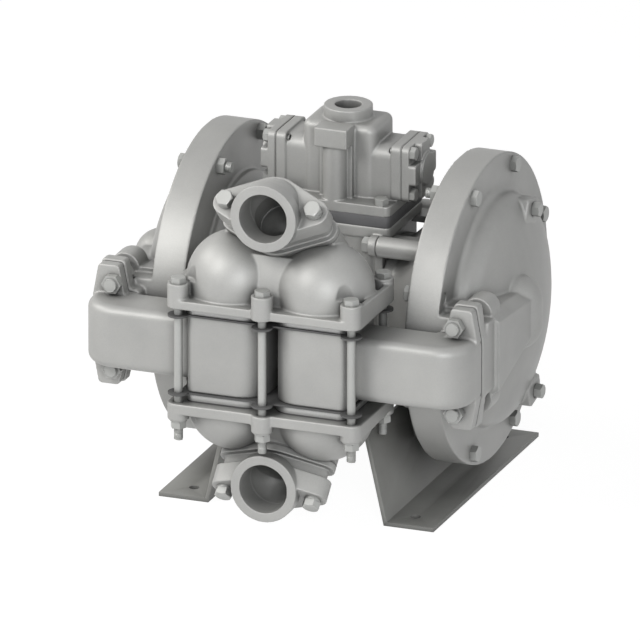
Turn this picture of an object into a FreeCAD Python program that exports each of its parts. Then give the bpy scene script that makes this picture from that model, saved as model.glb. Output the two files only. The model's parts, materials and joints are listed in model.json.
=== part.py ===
"""Air operated double diaphragm pump with side ports and ball valves.

Millimetres. +Z is up, +X runs along the diaphragm rod, and the ports face -Y.
The pieces are drawn about the rod's axis and lifted by axis_height when they are written,
so the origin is on the floor, midway between the feet.
"""
import FreeCAD, Part
import math
import os
from FreeCAD import Placement, Rotation, Vector

# Overall
axis_height = 177.2
casting_wall = 6.0
thread_gap = 0.05
hole_gap = 0.5
running_gap = 0.05
soft_gap = 0.3
blind_spare = 1.0

# Chambers: the rims are clamped together, with the diaphragm between them
rim_radius = 149.0
rim_bolt_margin = 11.0
rim_inner_face = 111.7
rim_split = 129.4
rim_outer_face = 144.6
chamber_bolt_circle = rim_radius - rim_bolt_margin
chamber_bolt_count = 8
chamber_bolt_radius = 4.75
chamber_bolt_flats = 14.3
chamber_head_height = 6.4
chamber_nut_height = 7.6
chamber_bolt_spare = 6.0
chamber_screw_grip = 14.0
bolt_to_dome = 25.5
dome_radius = chamber_bolt_circle - bolt_to_dome
dome_depth = 43.0
dome_shoulder = 24.0
dome_foot_fillet = 7.0

# Inner chamber
hub_face = 51.0
hub_length = 12.0
hub_radius = 62.0
hub_floor = 7.0
dome_to_cone = 10.5
cone_radius = dome_radius - dome_to_cone
cone_wall = 9.0
frame_screw_y = 57.0
frame_screw_z = 69.0
frame_boss_radius = 10.0
frame_screw_radius = 4.75
frame_screw_flats = 14.3
frame_screw_head = 7.0
frame_screw_length = 45.0

# Duct from the dome to the flow elbow
joint_y = -158.8
elbow_gasket = 1.0
pad_x = (150.0, 194.7)
pad_half_height = 33.0
pad_depth = 31.2
duct_outer_x = 199.4
duct_end_y = -42.5
duct_low = (-33.0, -8.0)
duct_high = (36.0, 30.0)
duct_shoulder = (13.0, 11.0)
ear_boss_radius = 15.0
ear_boss_end = -109.0
duct_bulb_radius = 26.0
duct_bulb_x = 178.5
duct_bulb_y = -29.0
duct_bulb_z = (0.0, 22.0)
passage_x = (153.0, 189.0)
passage_half_height = 25.0
ear_x = 177.3
ear_bolt_x = 172.0
ear_bolt_z = 42.5
ear_reach = 59.5
ear_half_width = (17.0, 10.4)
ear_thickness = 11.3
ear_bolt_radius = 6.0
ear_bolt_flats = 17.0
ear_nut_height = 8.0
ear_head_height = 6.4
ear_bolt_spare = 3.0

# Plug bosses on the outer chamber
plug_places = ((35.0, 91.5), (42.5, -93.0))
plug_boss_end = 172.5
plug_radius = 6.0
plug_flats = 12.5
plug_head = 7.5
plug_length = 10.0
plug_hole_depth = 22.0

# Diaphragm assembly
diaphragm_thickness = 3.0
bolt_to_bead = 14.0
bead_width = 6.0
bead_edge = chamber_bolt_circle - bolt_to_bead
bead_radius = (bead_edge - bead_width, bead_edge)
bead_thickness = 4.6
bead_to_clamp = 12.0
clamp_radius = bead_radius[0] - bead_to_clamp
convolution_depth = 9.0
plate_radius = clamp_radius - 34.0
plate_thickness = 12.0
outer_plate_thickness = 14.0
rod_radius = 12.7
stud_radius = 8.0
stud_length = 24.0
rod_stroke = 12.0
bushing_wall = 3.3
bushing_length = 20.0
seal_length = 5.0

# Pilot valve, below the rod
pilot_z = -40.0
pilot_radius = 5.5
pilot_sleeve_wall = 3.5
pilot_stroke = 4.0

# Intermediate housing
housing_half_x = 43.0
housing_half_y = 46.0
housing_z = (-64.0, 72.0)
top_pad_z = (72.8, 84.5)
exhaust_boss_radius = 24.0
exhaust_radius = 15.3
exhaust_z = 20.0
exhaust_face_y = 62.0
exhaust_depth = 34.0
air_hole_x = 30.0
air_hole_radius = 5.0

# Air valve
valve_y = -2.8
valve_z = 132.8
spacer_thickness = 11.0
base_thickness = 9.8
base_half_x = 58.6
base_y = (-49.0, 43.0)
base_corner = 6.0
base_screw_x = 48.0
base_screw_y = (-41.0, 35.0)
base_screw_radius = 4.0
base_screw_flats = 12.3
base_screw_head = 6.5
base_screw_grip = 11.0
valve_core_half_x = 37.0
valve_core_top = 175.8
valve_arm_half_x = 52.9
valve_arm_top = 160.0
valve_end_x = 63.0
valve_end_half = 27.5
valve_back_y = 24.6
valve_front_y = -30.2
label_pad = (16.3, 158.3, 177.2, -50.8)
column_radius = 11.3
label_column_y = -37.8
inlet_boss_radius = 23.2
inlet_radius = 12.6
inlet_top = 187.5
inlet_depth = 22.0
inlet_throat = 8.0
cap_gasket = 0.8
cap_plate = 7.4
cap_cross = 7.0
cap_boss = 3.1
cap_screw_offset = 20.5
cap_screw_radius = 3.2
cap_screw_flats = 11.3
cap_screw_head = 5.5
cap_screw_grip = 12.0
sleeve_radius = 14.0
sleeve_wall = 2.5
spool_half_length = 52.0
spool_stroke = 8.0
spool_stem_radius = 7.0

# Valve chest: two columns of check valves between the manifolds
seat_x = 44.4
seat_y = -180.0
column_half_height = 37.8
column_x = (4.4, 80.3)
column_y = (-220.2, -139.8)
column_cavity_radius = 31.0
wide_gasket = 1.8
gasket_overhang = 2.5
gasket_lobe_radius = 10.0
seat_plate_thickness = 6.6
thin_gasket = 1.2
seat_bore_radius = 17.0
seat_cone_depth = 3.5
ball_radius = 23.8
ball_lift = 12.0
guide_gap = 0.9
guide_thickness = 4.0
guide_step = 8.0
guide_step_height = 5.0
guide_root = 1.0
arm_front_y = -207.9
arm_back_y = -162.5
arm_half_height = 31.2
arm_end_x = 193.7
arm_corner = 33.0
arm_edge_round = 9.0
passage_inner_corner = 3.0
column_corners = [26.0, 7.0, 7.0, 20.0]
seat_corners = [22.0, 9.0, 9.0, 22.0]
tie_x = 86.8
tie_front_y = -222.0
tie_middle_y = -228.7
tie_rear_y = -138.9
tie_radius = 4.05
tie_flats = 13.5
tie_head = 5.5
tie_nut = 7.2
tie_washer = 1.6
tie_washer_radius = 8.4
tie_end_spare = 12.0

# Manifolds
manifold_boss_radius = 10.4
valve_dome_radius = 47.25
bolt_relief_radius = 16.5
discharge = dict(plate=8.5, boss=23.5, dome=66.2, port=146.0, turn=32.1, cavity=41.0, ear=10.4)
suction = dict(plate=10.4, boss=17.2, dome=54.5, port=123.0, turn=22.0, cavity=36.0, ear=16.0)
plenum_radius = 17.0
plenum_back = 8.0
neck_bore = 21.0
riser_bore = 18.0
neck_back = 34.0
far = 400.0

# Port elbows, bolted on at 45 degrees
port_face_y = -226.8
port_turn_y = -198.0
port_radius = 23.8
port_collar_radius = 32.9
port_flange_radius = 32.0
port_flange_drop = 2.4
port_barrel_radius = 29.0
port_collar_length = 14.0
port_ear_plate = 20.0
port_base_plate = 7.0
port_waist_inset = 5.5
port_gasket = 1.0
port_ear_radius = 13.2
port_bolt_x = 44.0
port_bolt_radius = 4.75
port_bolt_flats = 15.0
port_bolt_head = 7.0
port_lock_washer = 2.6
port_bolt_depth = 16.0

# Feet
foot_thickness = 4.0
foot_bend_x = 92.6
foot_outer_x = 138.6
foot_half_length = 141.0
foot_hole_x = 111.7
foot_hole_y = 117.4
foot_hole_radius = 5.0
foot_lean = 13.0
foot_web_drop = 85.2
foot_web_height = axis_height - foot_web_drop
foot_web_taper = 1.0
foot_lug_y = 28.0
foot_lug_half_width = 12.0
foot_bolt_drop = 111.2
foot_bolt_up = axis_height - foot_bolt_drop
foot_bolt_radius = 4.75
foot_bolt_flats = 14.3
foot_bolt_head = 6.4
foot_bolt_grip = 20.0

# Sizes that follow from the ones above
crown_radius = (dome_depth ** 2 + (dome_radius - dome_shoulder) ** 2 - dome_shoulder ** 2) / (
    2 * (dome_depth - dome_shoulder)
)
flange_face = column_half_height + wide_gasket + seat_plate_thickness + thin_gasket
seat_low = column_half_height + wide_gasket
seat_high = seat_low + seat_plate_thickness
ball_rise = (ball_radius + soft_gap) * math.sqrt(2) - seat_bore_radius - seat_cone_depth
guide_radius = ball_radius + guide_gap
stop_rise = math.sqrt((ball_radius + soft_gap) ** 2 - (guide_radius - guide_step) ** 2)
spacer_z = (top_pad_z[1], top_pad_z[1] + spacer_thickness)
base_z = (spacer_z[1], spacer_z[1] + base_thickness)
half_web = diaphragm_thickness / 2
inner_plate_face = rim_split - half_web - running_gap
outer_plate_face = rim_split + half_web + running_gap
tie_places = [(x, y) for x in (-tie_x, tie_x) for y in (tie_front_y, tie_rear_y)]
tie_places += [(0, tie_middle_y), (0, tie_rear_y)]
frame_places = [(y, z) for y in (-frame_screw_y, frame_screw_y) for z in (-frame_screw_z, frame_screw_z)]

parts = {}


def box(x, y, z):
    """A block from three (low, high) pairs."""
    corner = Vector(min(x), min(y), min(z))
    return Part.makeBox(abs(x[1] - x[0]), abs(y[1] - y[0]), abs(z[1] - z[0]), corner)


def cylinder(at, along, radius, length):
    return Part.makeCylinder(radius, length, Vector(*at), Vector(*along))


def ball(at, radius):
    return Part.makeSphere(radius, Vector(*at))


def fuse(shapes):
    shapes = list(shapes)
    return shapes[0].multiFuse(shapes[1:]).removeSplitter()


def cut(shape, tools):
    return shape.cut(list(tools))


def group(shapes):
    return Part.makeCompound(list(shapes))


def mirrored(shape):
    """The same piece on the other side of the pump."""
    return shape.mirror(Vector(0, 0, 0), Vector(1, 0, 0))


def flipped(shape):
    """The same piece below the rod's axis."""
    return shape.mirror(Vector(0, 0, 0), Vector(0, 0, 1))


def polygon(points, extrusion):
    """A prism from a closed outline of points."""
    corners = [Vector(*p) for p in points]
    return Part.Face(Part.makePolygon(corners + corners[:1])).extrude(Vector(*extrusion))


def rounded(points, radii):
    """A closed wire through the points, each corner rounded by its own radius."""
    corners = [Vector(*p) for p in points]
    count = len(corners)
    ends = []
    for i, corner in enumerate(corners):
        back = (corners[i - 1] - corner).normalize()
        ahead = (corners[(i + 1) % count] - corner).normalize()
        half = back.getAngle(ahead) / 2
        reach = radii[i] / math.tan(half)
        middle = corner + (back + ahead).normalize() * (radii[i] / math.sin(half) - radii[i])
        ends.append((corner + back * reach, middle, corner + ahead * reach))
    edges = []
    for i, (start, middle, end) in enumerate(ends):
        if radii[i] > 0:
            edges.append(Part.Arc(start, middle, end).toShape())
        following = ends[(i + 1) % count][0]
        if (following - end).Length > 1e-6:
            edges.append(Part.LineSegment(end, following).toShape())
    return Part.Wire(edges)


def slab(x, y, z, radius, along="z"):
    """A block with four rounded edges that run along one axis."""
    if along == "z":
        points = [(x[0], y[0], z[0]), (x[1], y[0], z[0]), (x[1], y[1], z[0]), (x[0], y[1], z[0])]
        depth = Vector(0, 0, z[1] - z[0])
    elif along == "x":
        points = [(x[0], y[0], z[0]), (x[0], y[1], z[0]), (x[0], y[1], z[1]), (x[0], y[0], z[1])]
        depth = Vector(x[1] - x[0], 0, 0)
    else:
        points = [(x[0], y[0], z[0]), (x[1], y[0], z[0]), (x[1], y[0], z[1]), (x[0], y[0], z[1])]
        depth = Vector(0, y[1] - y[0], 0)
    return Part.Face(rounded(points, [radius] * 4)).extrude(depth)


def turned(profile):
    """A solid of revolution about the rod's axis, from (x, radius) points."""
    points = [Vector(x, r, 0) for x, r in profile]
    face = Part.Face(Part.makePolygon(points + points[:1]))
    return face.revolve(Vector(0, 0, 0), Vector(1, 0, 0), 360)


def ring(x, radii, y=0.0, z=0.0):
    """A tube along X between two positions and two radii."""
    outer = cylinder((x[0], y, z), (1, 0, 0), radii[1], x[1] - x[0])
    return outer.cut(cylinder((x[0], y, z), (1, 0, 0), radii[0], x[1] - x[0]))


def hexagon(at, along, flats, height):
    corner = flats / math.sqrt(3)
    points = [
        (corner * math.cos(math.radians(60 * i)), corner * math.sin(math.radians(60 * i)), 0)
        for i in range(6)
    ]
    solid = polygon(points, (0, 0, height))
    solid.Placement = Placement(Vector(*at), Rotation(Vector(0, 0, 1), Vector(*along)))
    return solid


def screw(at, outward, radius, flats, head, length):
    """A hex screw whose head bears at a point and stands outward from it."""
    inward = [-c for c in outward]
    return fuse([hexagon(at, outward, flats, head), cylinder(at, inward, radius, length)])


def nut(at, along, radius, flats, height):
    return hexagon(at, along, flats, height).cut(cylinder(at, along, radius + thread_gap, height))


def washer(at, along, bore, radius, height):
    return cylinder(at, along, radius, height).cut(cylinder(at, along, bore, height))


def rim_places(angles):
    """Points (y, z) on the chamber bolt circle, at angles from the top towards the back."""
    spots = [math.radians(a) for a in angles]
    return [(chamber_bolt_circle * math.sin(a), chamber_bolt_circle * math.cos(a)) for a in spots]


first_angle = 180.0 / chamber_bolt_count
rim_angles = [first_angle + 360.0 / chamber_bolt_count * i - 180 for i in range(chamber_bolt_count)]
duct_side = [a for a in rim_angles if -135 < a < -45]
through_places = rim_places([a for a in rim_angles if a not in duct_side])
duct_places = rim_places(duct_side)


def dome_edges(offset, start=0.0):
    """The dome's outline as arcs, from its foot to the crown, offset inward by a wall."""
    shoulder = dome_shoulder - offset
    crown = crown_radius - offset
    centre_r = dome_radius - dome_shoulder
    centre_x = rim_outer_face + dome_depth - crown_radius
    lean = math.atan2(centre_r, rim_outer_face - centre_x)

    def on_shoulder(angle):
        return Vector(
            rim_outer_face + shoulder * math.sin(angle), centre_r + shoulder * math.cos(angle), 0
        )

    def on_crown(angle):
        return Vector(centre_x + crown * math.cos(angle), crown * math.sin(angle), 0)

    join = math.pi / 2 - lean
    first = Part.Arc(on_shoulder(start), on_shoulder((start + join) / 2), on_shoulder(join))
    second = Part.Arc(on_shoulder(join), on_crown(lean / 2), on_crown(0))
    return [first.toShape(), second.toShape()], on_shoulder(start), on_crown(0)


def dome_solid(offset, start_x):
    """The dome as a solid from start_x to its crown."""
    arcs, rim, crown = dome_edges(offset)
    base = Vector(start_x, rim.y, 0)
    middle = Vector(start_x, 0, 0)
    lines = [(crown, middle), (middle, base), (base, rim)]
    edges = arcs + [Part.LineSegment(a, b).toShape() for a, b in lines if (a - b).Length > 1e-6]
    face = Part.Face(Part.Wire(Part.__sortEdges__(edges)))
    return face.revolve(Vector(0, 0, 0), Vector(1, 0, 0), 360)


def flanged_dome():
    """The rim flange and the dome as one solid, with a fillet between them."""
    middle = Vector(rim_outer_face, dome_radius - dome_shoulder, 0)
    reach = dome_shoulder + dome_foot_fillet
    foot = Vector(rim_outer_face, middle.y + math.sqrt(reach ** 2 - dome_foot_fillet ** 2), 0)
    arcs, start, crown = dome_edges(0, math.asin(dome_foot_fillet / reach))
    centre = foot + Vector(dome_foot_fillet, 0, 0)
    inward = (middle - centre).normalize() + Vector(-1, 0, 0)
    fillet = Part.Arc(foot, centre + inward.normalize() * dome_foot_fillet, start).toShape()
    points = [foot, Vector(rim_outer_face, rim_radius, 0), Vector(rim_split, rim_radius, 0)]
    points += [Vector(rim_split, 0, 0), crown]
    lines = [Part.LineSegment(a, b).toShape() for a, b in zip(points, points[1:])]
    face = Part.Face(Part.Wire(Part.__sortEdges__(arcs + [fillet] + lines)))
    return face.revolve(Vector(0, 0, 0), Vector(1, 0, 0), 360)


def clamp_recess(side):
    """The room for the diaphragm's edge and bead on one side of the split (-1 inner, 1 outer)."""
    web = rim_split + side * half_web
    bead = rim_split + side * bead_thickness / 2
    faces = [sorted((rim_split, web)), sorted((rim_split, bead))]
    flat = ring(faces[0], (clamp_radius - 1, bead_radius[1]))
    groove = ring(faces[1], bead_radius)
    return [flat, groove]


def inner_chamber():
    """Disc, cone and hub in one casting, open to the diaphragm on one side."""
    outline = [
        (hub_face, 0),
        (hub_face, hub_radius),
        (hub_face + hub_length, hub_radius),
        (rim_inner_face - 6, cone_radius),
        (rim_inner_face, cone_radius),
        (rim_inner_face, rim_radius),
        (rim_split, rim_radius),
        (rim_split, 0),
    ]
    bosses = [
        cylinder((hub_face, y, z), (1, 0, 0), frame_boss_radius, rim_inner_face - hub_face)
        for y, z in frame_places
    ]
    webs = [
        box((hub_face, rim_inner_face), (y - 4 if y > 0 else y + 4, y / 2), (z - 3.5, z + 3.5))
        for y, z in frame_places
    ]
    body = fuse([turned(outline)] + bosses + webs + [foot_lug(y) for y in (-foot_lug_y, foot_lug_y)])
    floor = hub_face + hub_floor
    cavity = turned(
        [
            (floor, 0),
            (floor, hub_radius - cone_wall),
            (hub_face + hub_length, hub_radius - cone_wall),
            (rim_inner_face - 6, cone_radius - cone_wall),
            (rim_split, clamp_radius),
            (rim_split, 0),
        ]
    )
    holes = [cavity] + clamp_recess(-1)
    holes.append(cylinder((hub_face, 0, 0), (1, 0, 0), rod_radius + bushing_wall + 4, hub_floor))
    sleeve_room = pilot_radius + pilot_sleeve_wall + 1
    holes.append(cylinder((hub_face, 0, pilot_z), (1, 0, 0), sleeve_room, hub_floor))
    holes.append(cylinder((hub_face, 0, -pilot_z), (1, 0, 0), pilot_radius, hub_floor))
    for y, z in frame_places:
        at = (hub_face, y, z)
        holes.append(cylinder(at, (1, 0, 0), frame_screw_radius + thread_gap, frame_screw_length))
    for y, z in through_places:
        holes.append(rim_hole(y, z, rim_inner_face, rim_split))
    for y, z in duct_places:
        holes.append(rim_hole(y, z, rim_inner_face, rim_split))
    for y in (-foot_lug_y, foot_lug_y):
        holes.append(foot_screw_hole(y))
    return cut(body, holes)


def rim_hole(y, z, start, end):
    return cylinder((start, y, z), (1, 0, 0), chamber_bolt_radius + hole_gap / 2, end - start)


def foot_frame():
    """The leaning web's plane: a point at its foot, and the directions up it and out of it."""
    lean = math.radians(foot_lean)
    foot = Vector(foot_bend_x, 0, -axis_height)
    up = Vector(-math.sin(lean), 0, math.cos(lean))
    out = Vector(math.cos(lean), 0, math.sin(lean))
    return foot, up, out


def foot_lug(y):
    """The pad between the disc and the foot's web that carries the pump."""
    foot, up, out = foot_frame()
    low = foot + up * (foot_bolt_up - foot_lug_half_width)
    high = foot + up * foot_web_height
    reach = rim_inner_face + 1
    points = [
        (low.x, y - foot_lug_half_width, low.z),
        (high.x, y - foot_lug_half_width, high.z),
        (high.x + 8, y - foot_lug_half_width, -hub_radius),
        (reach, y - foot_lug_half_width, -hub_radius),
        (reach, y - foot_lug_half_width, low.z),
    ]
    return polygon(points, (0, 2 * foot_lug_half_width, 0))


def foot_screw_hole(y):
    foot, up, out = foot_frame()
    start = foot + up * foot_bolt_up + Vector(0, y, 0)
    return cylinder(start, out, foot_bolt_radius + thread_gap, foot_bolt_grip + blind_spare)


def outer_chamber():
    """Flange, dome, duct and plug bosses in one casting."""
    bosses = [plug_boss(place) for place in plug_places]
    body = fuse([flanged_dome(), duct(), duct_pad()] + bosses)
    cavity = dome_solid(casting_wall, rim_split)
    holes = [cavity, duct_passage()] + clamp_recess(1)
    for y, z in through_places:
        holes.append(rim_hole(y, z, rim_split, rim_outer_face))
    for y, z in duct_places:
        depth = chamber_screw_grip + 2 * blind_spare
        holes.append(cylinder((rim_split, y, z), (1, 0, 0), chamber_bolt_radius + thread_gap, depth))
    back = joint_y + elbow_gasket / 2 + ear_thickness + 1
    for y, z in plug_places:
        holes.append(cylinder((plug_boss_end, y, z), (-1, 0, 0), plug_radius, plug_hole_depth))
    for side in (1, -1):
        at = (ear_bolt_x, joint_y, side * ear_bolt_z)
        holes.append(cylinder(at, (0, 1, 0), ear_bolt_radius + hole_gap / 2, pad_depth))
        at = (ear_bolt_x, back, side * ear_bolt_z)
        holes.append(cylinder(at, (0, 1, 0), ear_bolt_flats * 0.58 + hole_gap, ear_head_height + 1))
    return cut(body, holes)


def duct():
    """The side duct: a tapering body with a flat outer wall, a rounded end and two bosses."""
    front = joint_y + pad_depth
    start = rim_split + casting_wall

    def section(y, low, high, shoulder):
        points = [
            (start, y, low - shoulder),
            (duct_outer_x - shoulder, y, low - shoulder * 0.6),
            (duct_outer_x, y, low),
            (duct_outer_x, y, high),
            (duct_outer_x - shoulder, y, high + shoulder * 0.6),
            (start, y, high + shoulder * 0.8),
        ]
        return Part.makePolygon([Vector(*p) for p in points + points[:1]])

    ends = zip((front, duct_end_y), duct_low, duct_high, duct_shoulder)
    taper = Part.makeLoft([section(*end) for end in ends], True, True)
    low, high = [(duct_bulb_x, duct_bulb_y, z) for z in duct_bulb_z]
    bulb = [ball(low, duct_bulb_radius), ball(high, duct_bulb_radius)]
    bulb.append(cylinder(low, (0, 0, 1), duct_bulb_radius, high[2] - low[2]))
    for side in (1, -1):
        foot = (ear_x, ear_boss_end, side * ear_bolt_z)
        bulb.append(cylinder(foot, (0, -1, 0), ear_boss_radius, ear_boss_end - front + blind_spare))
        bulb.append(ball(foot, ear_boss_radius))
    return fuse([taper] + bulb)


def ear(side, y_start, thickness, grow):
    """A bolt ear above (1) or below (-1) the duct's joint."""
    root = side * (pad_half_height - 6)
    tip = side * (ear_reach + grow)
    wide, narrow = [w + grow for w in ear_half_width]
    points = [
        (ear_x - wide, y_start, root),
        (ear_x + min(wide, arm_end_x - ear_x), y_start, root),
        (ear_x + narrow, y_start, tip),
        (ear_x - narrow, y_start, tip),
    ]
    return Part.Face(rounded(points, [1, 1, 4, 4])).extrude(Vector(0, thickness, 0))


def duct_pad():
    """The duct's squared end, with its two bolt ears."""
    face = joint_y + elbow_gasket / 2
    pad = slab(pad_x, (face, joint_y + pad_depth + 2), (-pad_half_height, pad_half_height), 6, "y")
    bridge = box((rim_split + 2, pad_x[1]), (joint_y + 12, joint_y + pad_depth + 2), (-28, 40))
    rim = turned([(rim_split, 0), (rim_split, rim_radius), (duct_outer_x, rim_radius), (duct_outer_x, 0)])
    ears = [ear(side, face, ear_thickness + 1, 1.2) for side in (1, -1)]
    return fuse([pad, bridge.common(rim)] + ears)


def duct_passage():
    """The way from the joint into the dome."""

    def section(y, x, z):
        points = [(x[0], y, z[0]), (x[1], y, z[0]), (x[1], y, z[1]), (x[0], y, z[1])]
        return rounded(points, [6] * 4)

    half = (-passage_half_height, passage_half_height)
    first = section(joint_y - 1, passage_x, half)
    last = section(-70, (passage_x[0], 180), (-16, 30))
    return Part.makeLoft([first, last], True, True)


def plug_boss(place):
    """A lug that stands out of the dome, with a tapped hole."""
    points = [(-20, -7), (-12, 13.5), (15.5, 7), (10, -15)]
    start = rim_outer_face - 2
    side = math.copysign(1, place[1])
    outline = [(start, place[0] + y, place[1] + side * z) for y, z in points]
    return Part.Face(rounded(outline, [4] * 4)).extrude(Vector(plug_boss_end - start, 0, 0))


def plugs():
    """Hex-headed pipe plugs in the two lugs."""
    spots = [(plug_boss_end, y, z) for y, z in plug_places]
    shank = plug_radius - thread_gap
    return group(screw(at, (1, 0, 0), shank, plug_flats, plug_head, plug_length) for at in spots)


def chamber_bolts():
    """Bolts round the rim, and two capscrews from the inner face beside the duct."""
    reach = rim_outer_face - rim_inner_face + chamber_nut_height + chamber_bolt_spare
    sizes = (chamber_bolt_radius, chamber_bolt_flats, chamber_head_height)
    bolts = [screw((rim_outer_face, y, z), (1, 0, 0), *sizes, reach) for y, z in through_places]
    depth = rim_split - rim_inner_face + chamber_screw_grip
    bolts += [screw((rim_inner_face, y, z), (-1, 0, 0), *sizes, depth) for y, z in duct_places]
    return group(bolts)


def chamber_nuts():
    sizes = (chamber_bolt_radius, chamber_bolt_flats, chamber_nut_height)
    return group(
        nut((rim_inner_face, y, z), (-1, 0, 0), *sizes)
        for y, z in through_places
    )


def diaphragm():
    """A rubber disc with one convolution and a bead round its edge."""
    low, high = rim_split - half_web, rim_split + half_web
    start = plate_radius + 3
    end = clamp_radius - 1
    middle = (start + end) / 2

    def bow(x):
        points = [Vector(x, start, 0), Vector(x - convolution_depth, middle, 0), Vector(x, end, 0)]
        return Part.Arc(*points).toShape()

    lines = [
        ((low, stud_radius + soft_gap), (low, start)),
        ((low, end), (low, bead_radius[1])),
        ((low, bead_radius[1]), (high, bead_radius[1])),
        ((high, bead_radius[1]), (high, end)),
        ((high, start), (high, stud_radius + soft_gap)),
        ((high, stud_radius + soft_gap), (low, stud_radius + soft_gap)),
    ]
    edges = [Part.LineSegment(Vector(*a, 0), Vector(*b, 0)).toShape() for a, b in lines]
    edges += [bow(low), bow(high)]
    face = Part.Face(Part.Wire(Part.__sortEdges__(edges)))
    web = face.revolve(Vector(0, 0, 0), Vector(1, 0, 0), 360)
    bead = ring((rim_split - bead_thickness / 2, rim_split + bead_thickness / 2), bead_radius)
    return fuse([web, bead])


def inner_plate():
    face = inner_plate_face
    back = face - plate_thickness
    outline = [
        (face, stud_radius),
        (face, plate_radius),
        (face - 3, plate_radius),
        (back + 3, plate_radius - 14),
        (back, plate_radius - 20),
        (back, stud_radius),
    ]
    return turned(outline)


def outer_plate():
    """The fluid-side plate and the stud that clamps the diaphragm to the rod."""
    face = outer_plate_face
    crown = face + outer_plate_thickness
    tip = inner_plate_face - plate_thickness - stud_length
    outline = [
        (tip, 0),
        (tip, stud_radius),
        (face, stud_radius),
        (face, plate_radius),
        (face + 4, plate_radius),
        (crown - 2, 26),
        (crown, 18),
        (crown, 0),
    ]
    return turned(outline)


def diaphragm_rod():
    end = inner_plate_face - plate_thickness
    rod = cylinder((-end, 0, 0), (1, 0, 0), rod_radius, 2 * end)
    sockets = [cylinder((s * end, 0, 0), (-s, 0, 0), stud_radius, stud_length + blind_spare) for s in (1, -1)]
    return cut(rod, sockets)


def rod_bushings():
    """Plain bearings for the rod at both ends of the housing."""
    radii = (rod_radius + running_gap, rod_radius + bushing_wall)
    inner = hub_face - bushing_length
    return group(ring(sorted((s * hub_face, s * inner)), radii) for s in (1, -1))


def rod_seals():
    radii = (rod_radius + 2 * running_gap, rod_radius + bushing_wall)
    start = hub_face - bushing_length
    return group(ring(sorted((s * start, s * (start - seal_length))), radii) for s in (1, -1))


def intermediate_housing():
    """The centre casting: rod and pilot bores, end flanges and the air valve's pad."""
    half = (-housing_half_x, housing_half_x)
    core = slab(half, (-housing_half_y, housing_half_y), housing_z, 10)
    pad = slab((-base_half_x, base_half_x), base_y, top_pad_z, base_corner)
    pieces = [core, pad, box(half, (base_y[0] + 3, base_y[1] - 3), (housing_z[1] - 10, top_pad_z[0] + 1))]
    for s in (1, -1):
        ends = sorted((s * housing_half_x, s * hub_face))
        pieces.append(slab(ends, (-housing_half_y, housing_half_y), (-70, 70), 12, "x"))
        for y, z in frame_places:
            pieces.append(cylinder((ends[0], y, z), (1, 0, 0), frame_boss_radius, ends[1] - ends[0]))
            pieces.append(box(ends, sorted((y * 0.6, y)), (z - 8, z + 8)))
    boss_length = exhaust_face_y - housing_half_y + 5
    pieces.append(cylinder((0, exhaust_face_y, exhaust_z), (0, -1, 0), exhaust_boss_radius, boss_length))
    body = fuse(pieces)
    bore = rod_radius + bushing_wall
    holes = [cylinder((-hub_face, 0, 0), (1, 0, 0), bore, 2 * hub_face)]
    pilot_bore = pilot_radius + pilot_sleeve_wall
    holes.append(cylinder((-hub_face, 0, pilot_z), (1, 0, 0), pilot_bore, 2 * hub_face))
    holes.append(cylinder((0, exhaust_face_y, exhaust_z), (0, -1, 0), exhaust_radius, exhaust_depth))
    for s in (1, -1):
        way = (s * air_hole_x, valve_y, top_pad_z[1])
        holes.append(cylinder(way, (0, 0, -1), air_hole_radius, top_pad_z[1] + pilot_z))
        way = (s * air_hole_x, 0, -pilot_z)
        holes.append(cylinder(way, (s, 0, 0), air_hole_radius, hub_face - air_hole_x))
        for y, z in frame_places:
            reach = hub_face - housing_half_x
            start = (s * housing_half_x, y, z)
            holes.append(cylinder(start, (s, 0, 0), frame_screw_radius + hole_gap / 2, reach))
            outside = base_half_x - hub_face
            relief = cylinder((s * hub_face, y, z), (s, 0, 0), frame_boss_radius + 1, outside + 1)
            holes.append(relief)
        for y in base_screw_y:
            at = (s * base_screw_x, y, top_pad_z[1])
            holes.append(cylinder(at, (0, 0, -1), base_screw_radius + thread_gap, base_screw_grip + blind_spare))
    return cut(body, holes)


def frame_screws():
    """Capscrews that pull each inner chamber onto the housing, heads towards the middle."""
    sizes = (frame_screw_radius, frame_screw_flats, frame_screw_head)
    return group(
        screw((s * housing_half_x, y, z), (-s, 0, 0), *sizes, frame_screw_length)
        for s in (1, -1)
        for y, z in frame_places
    )


def pilot_sleeve():
    return ring((-hub_face, hub_face), (pilot_radius, pilot_radius + pilot_sleeve_wall), z=pilot_z)


def pilot_spool():
    """The pilot spool, with plungers that the inner plates push at each end of the stroke."""
    face = inner_plate_face - plate_thickness
    reach = face - rod_stroke + pilot_stroke - soft_gap
    lands = [(-hub_face + 6, -24), (-9, 9), (24, hub_face - 6)]
    pieces = [cylinder((-reach, 0, pilot_z), (1, 0, 0), pilot_radius - 1.8, 2 * reach)]
    for start, end in lands:
        pieces.append(cylinder((start, 0, pilot_z), (1, 0, 0), pilot_radius - running_gap, end - start))
    return fuse(pieces)


def valve_spacer():
    """The thick gasket plate between the housing and the air valve."""
    plate = slab((-base_half_x, base_half_x), base_y, spacer_z, base_corner)
    return cut(plate, base_holes(spacer_z) + air_holes(spacer_z))


def base_holes(z):
    return [
        cylinder((s * base_screw_x, y, z[0]), (0, 0, 1), base_screw_radius + hole_gap / 2, z[1] - z[0])
        for s in (1, -1)
        for y in base_screw_y
    ]


def air_holes(z):
    return [
        cylinder((s * air_hole_x, valve_y, z[0]), (0, 0, 1), air_hole_radius, z[1] - z[0])
        for s in (1, -1)
    ]


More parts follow.
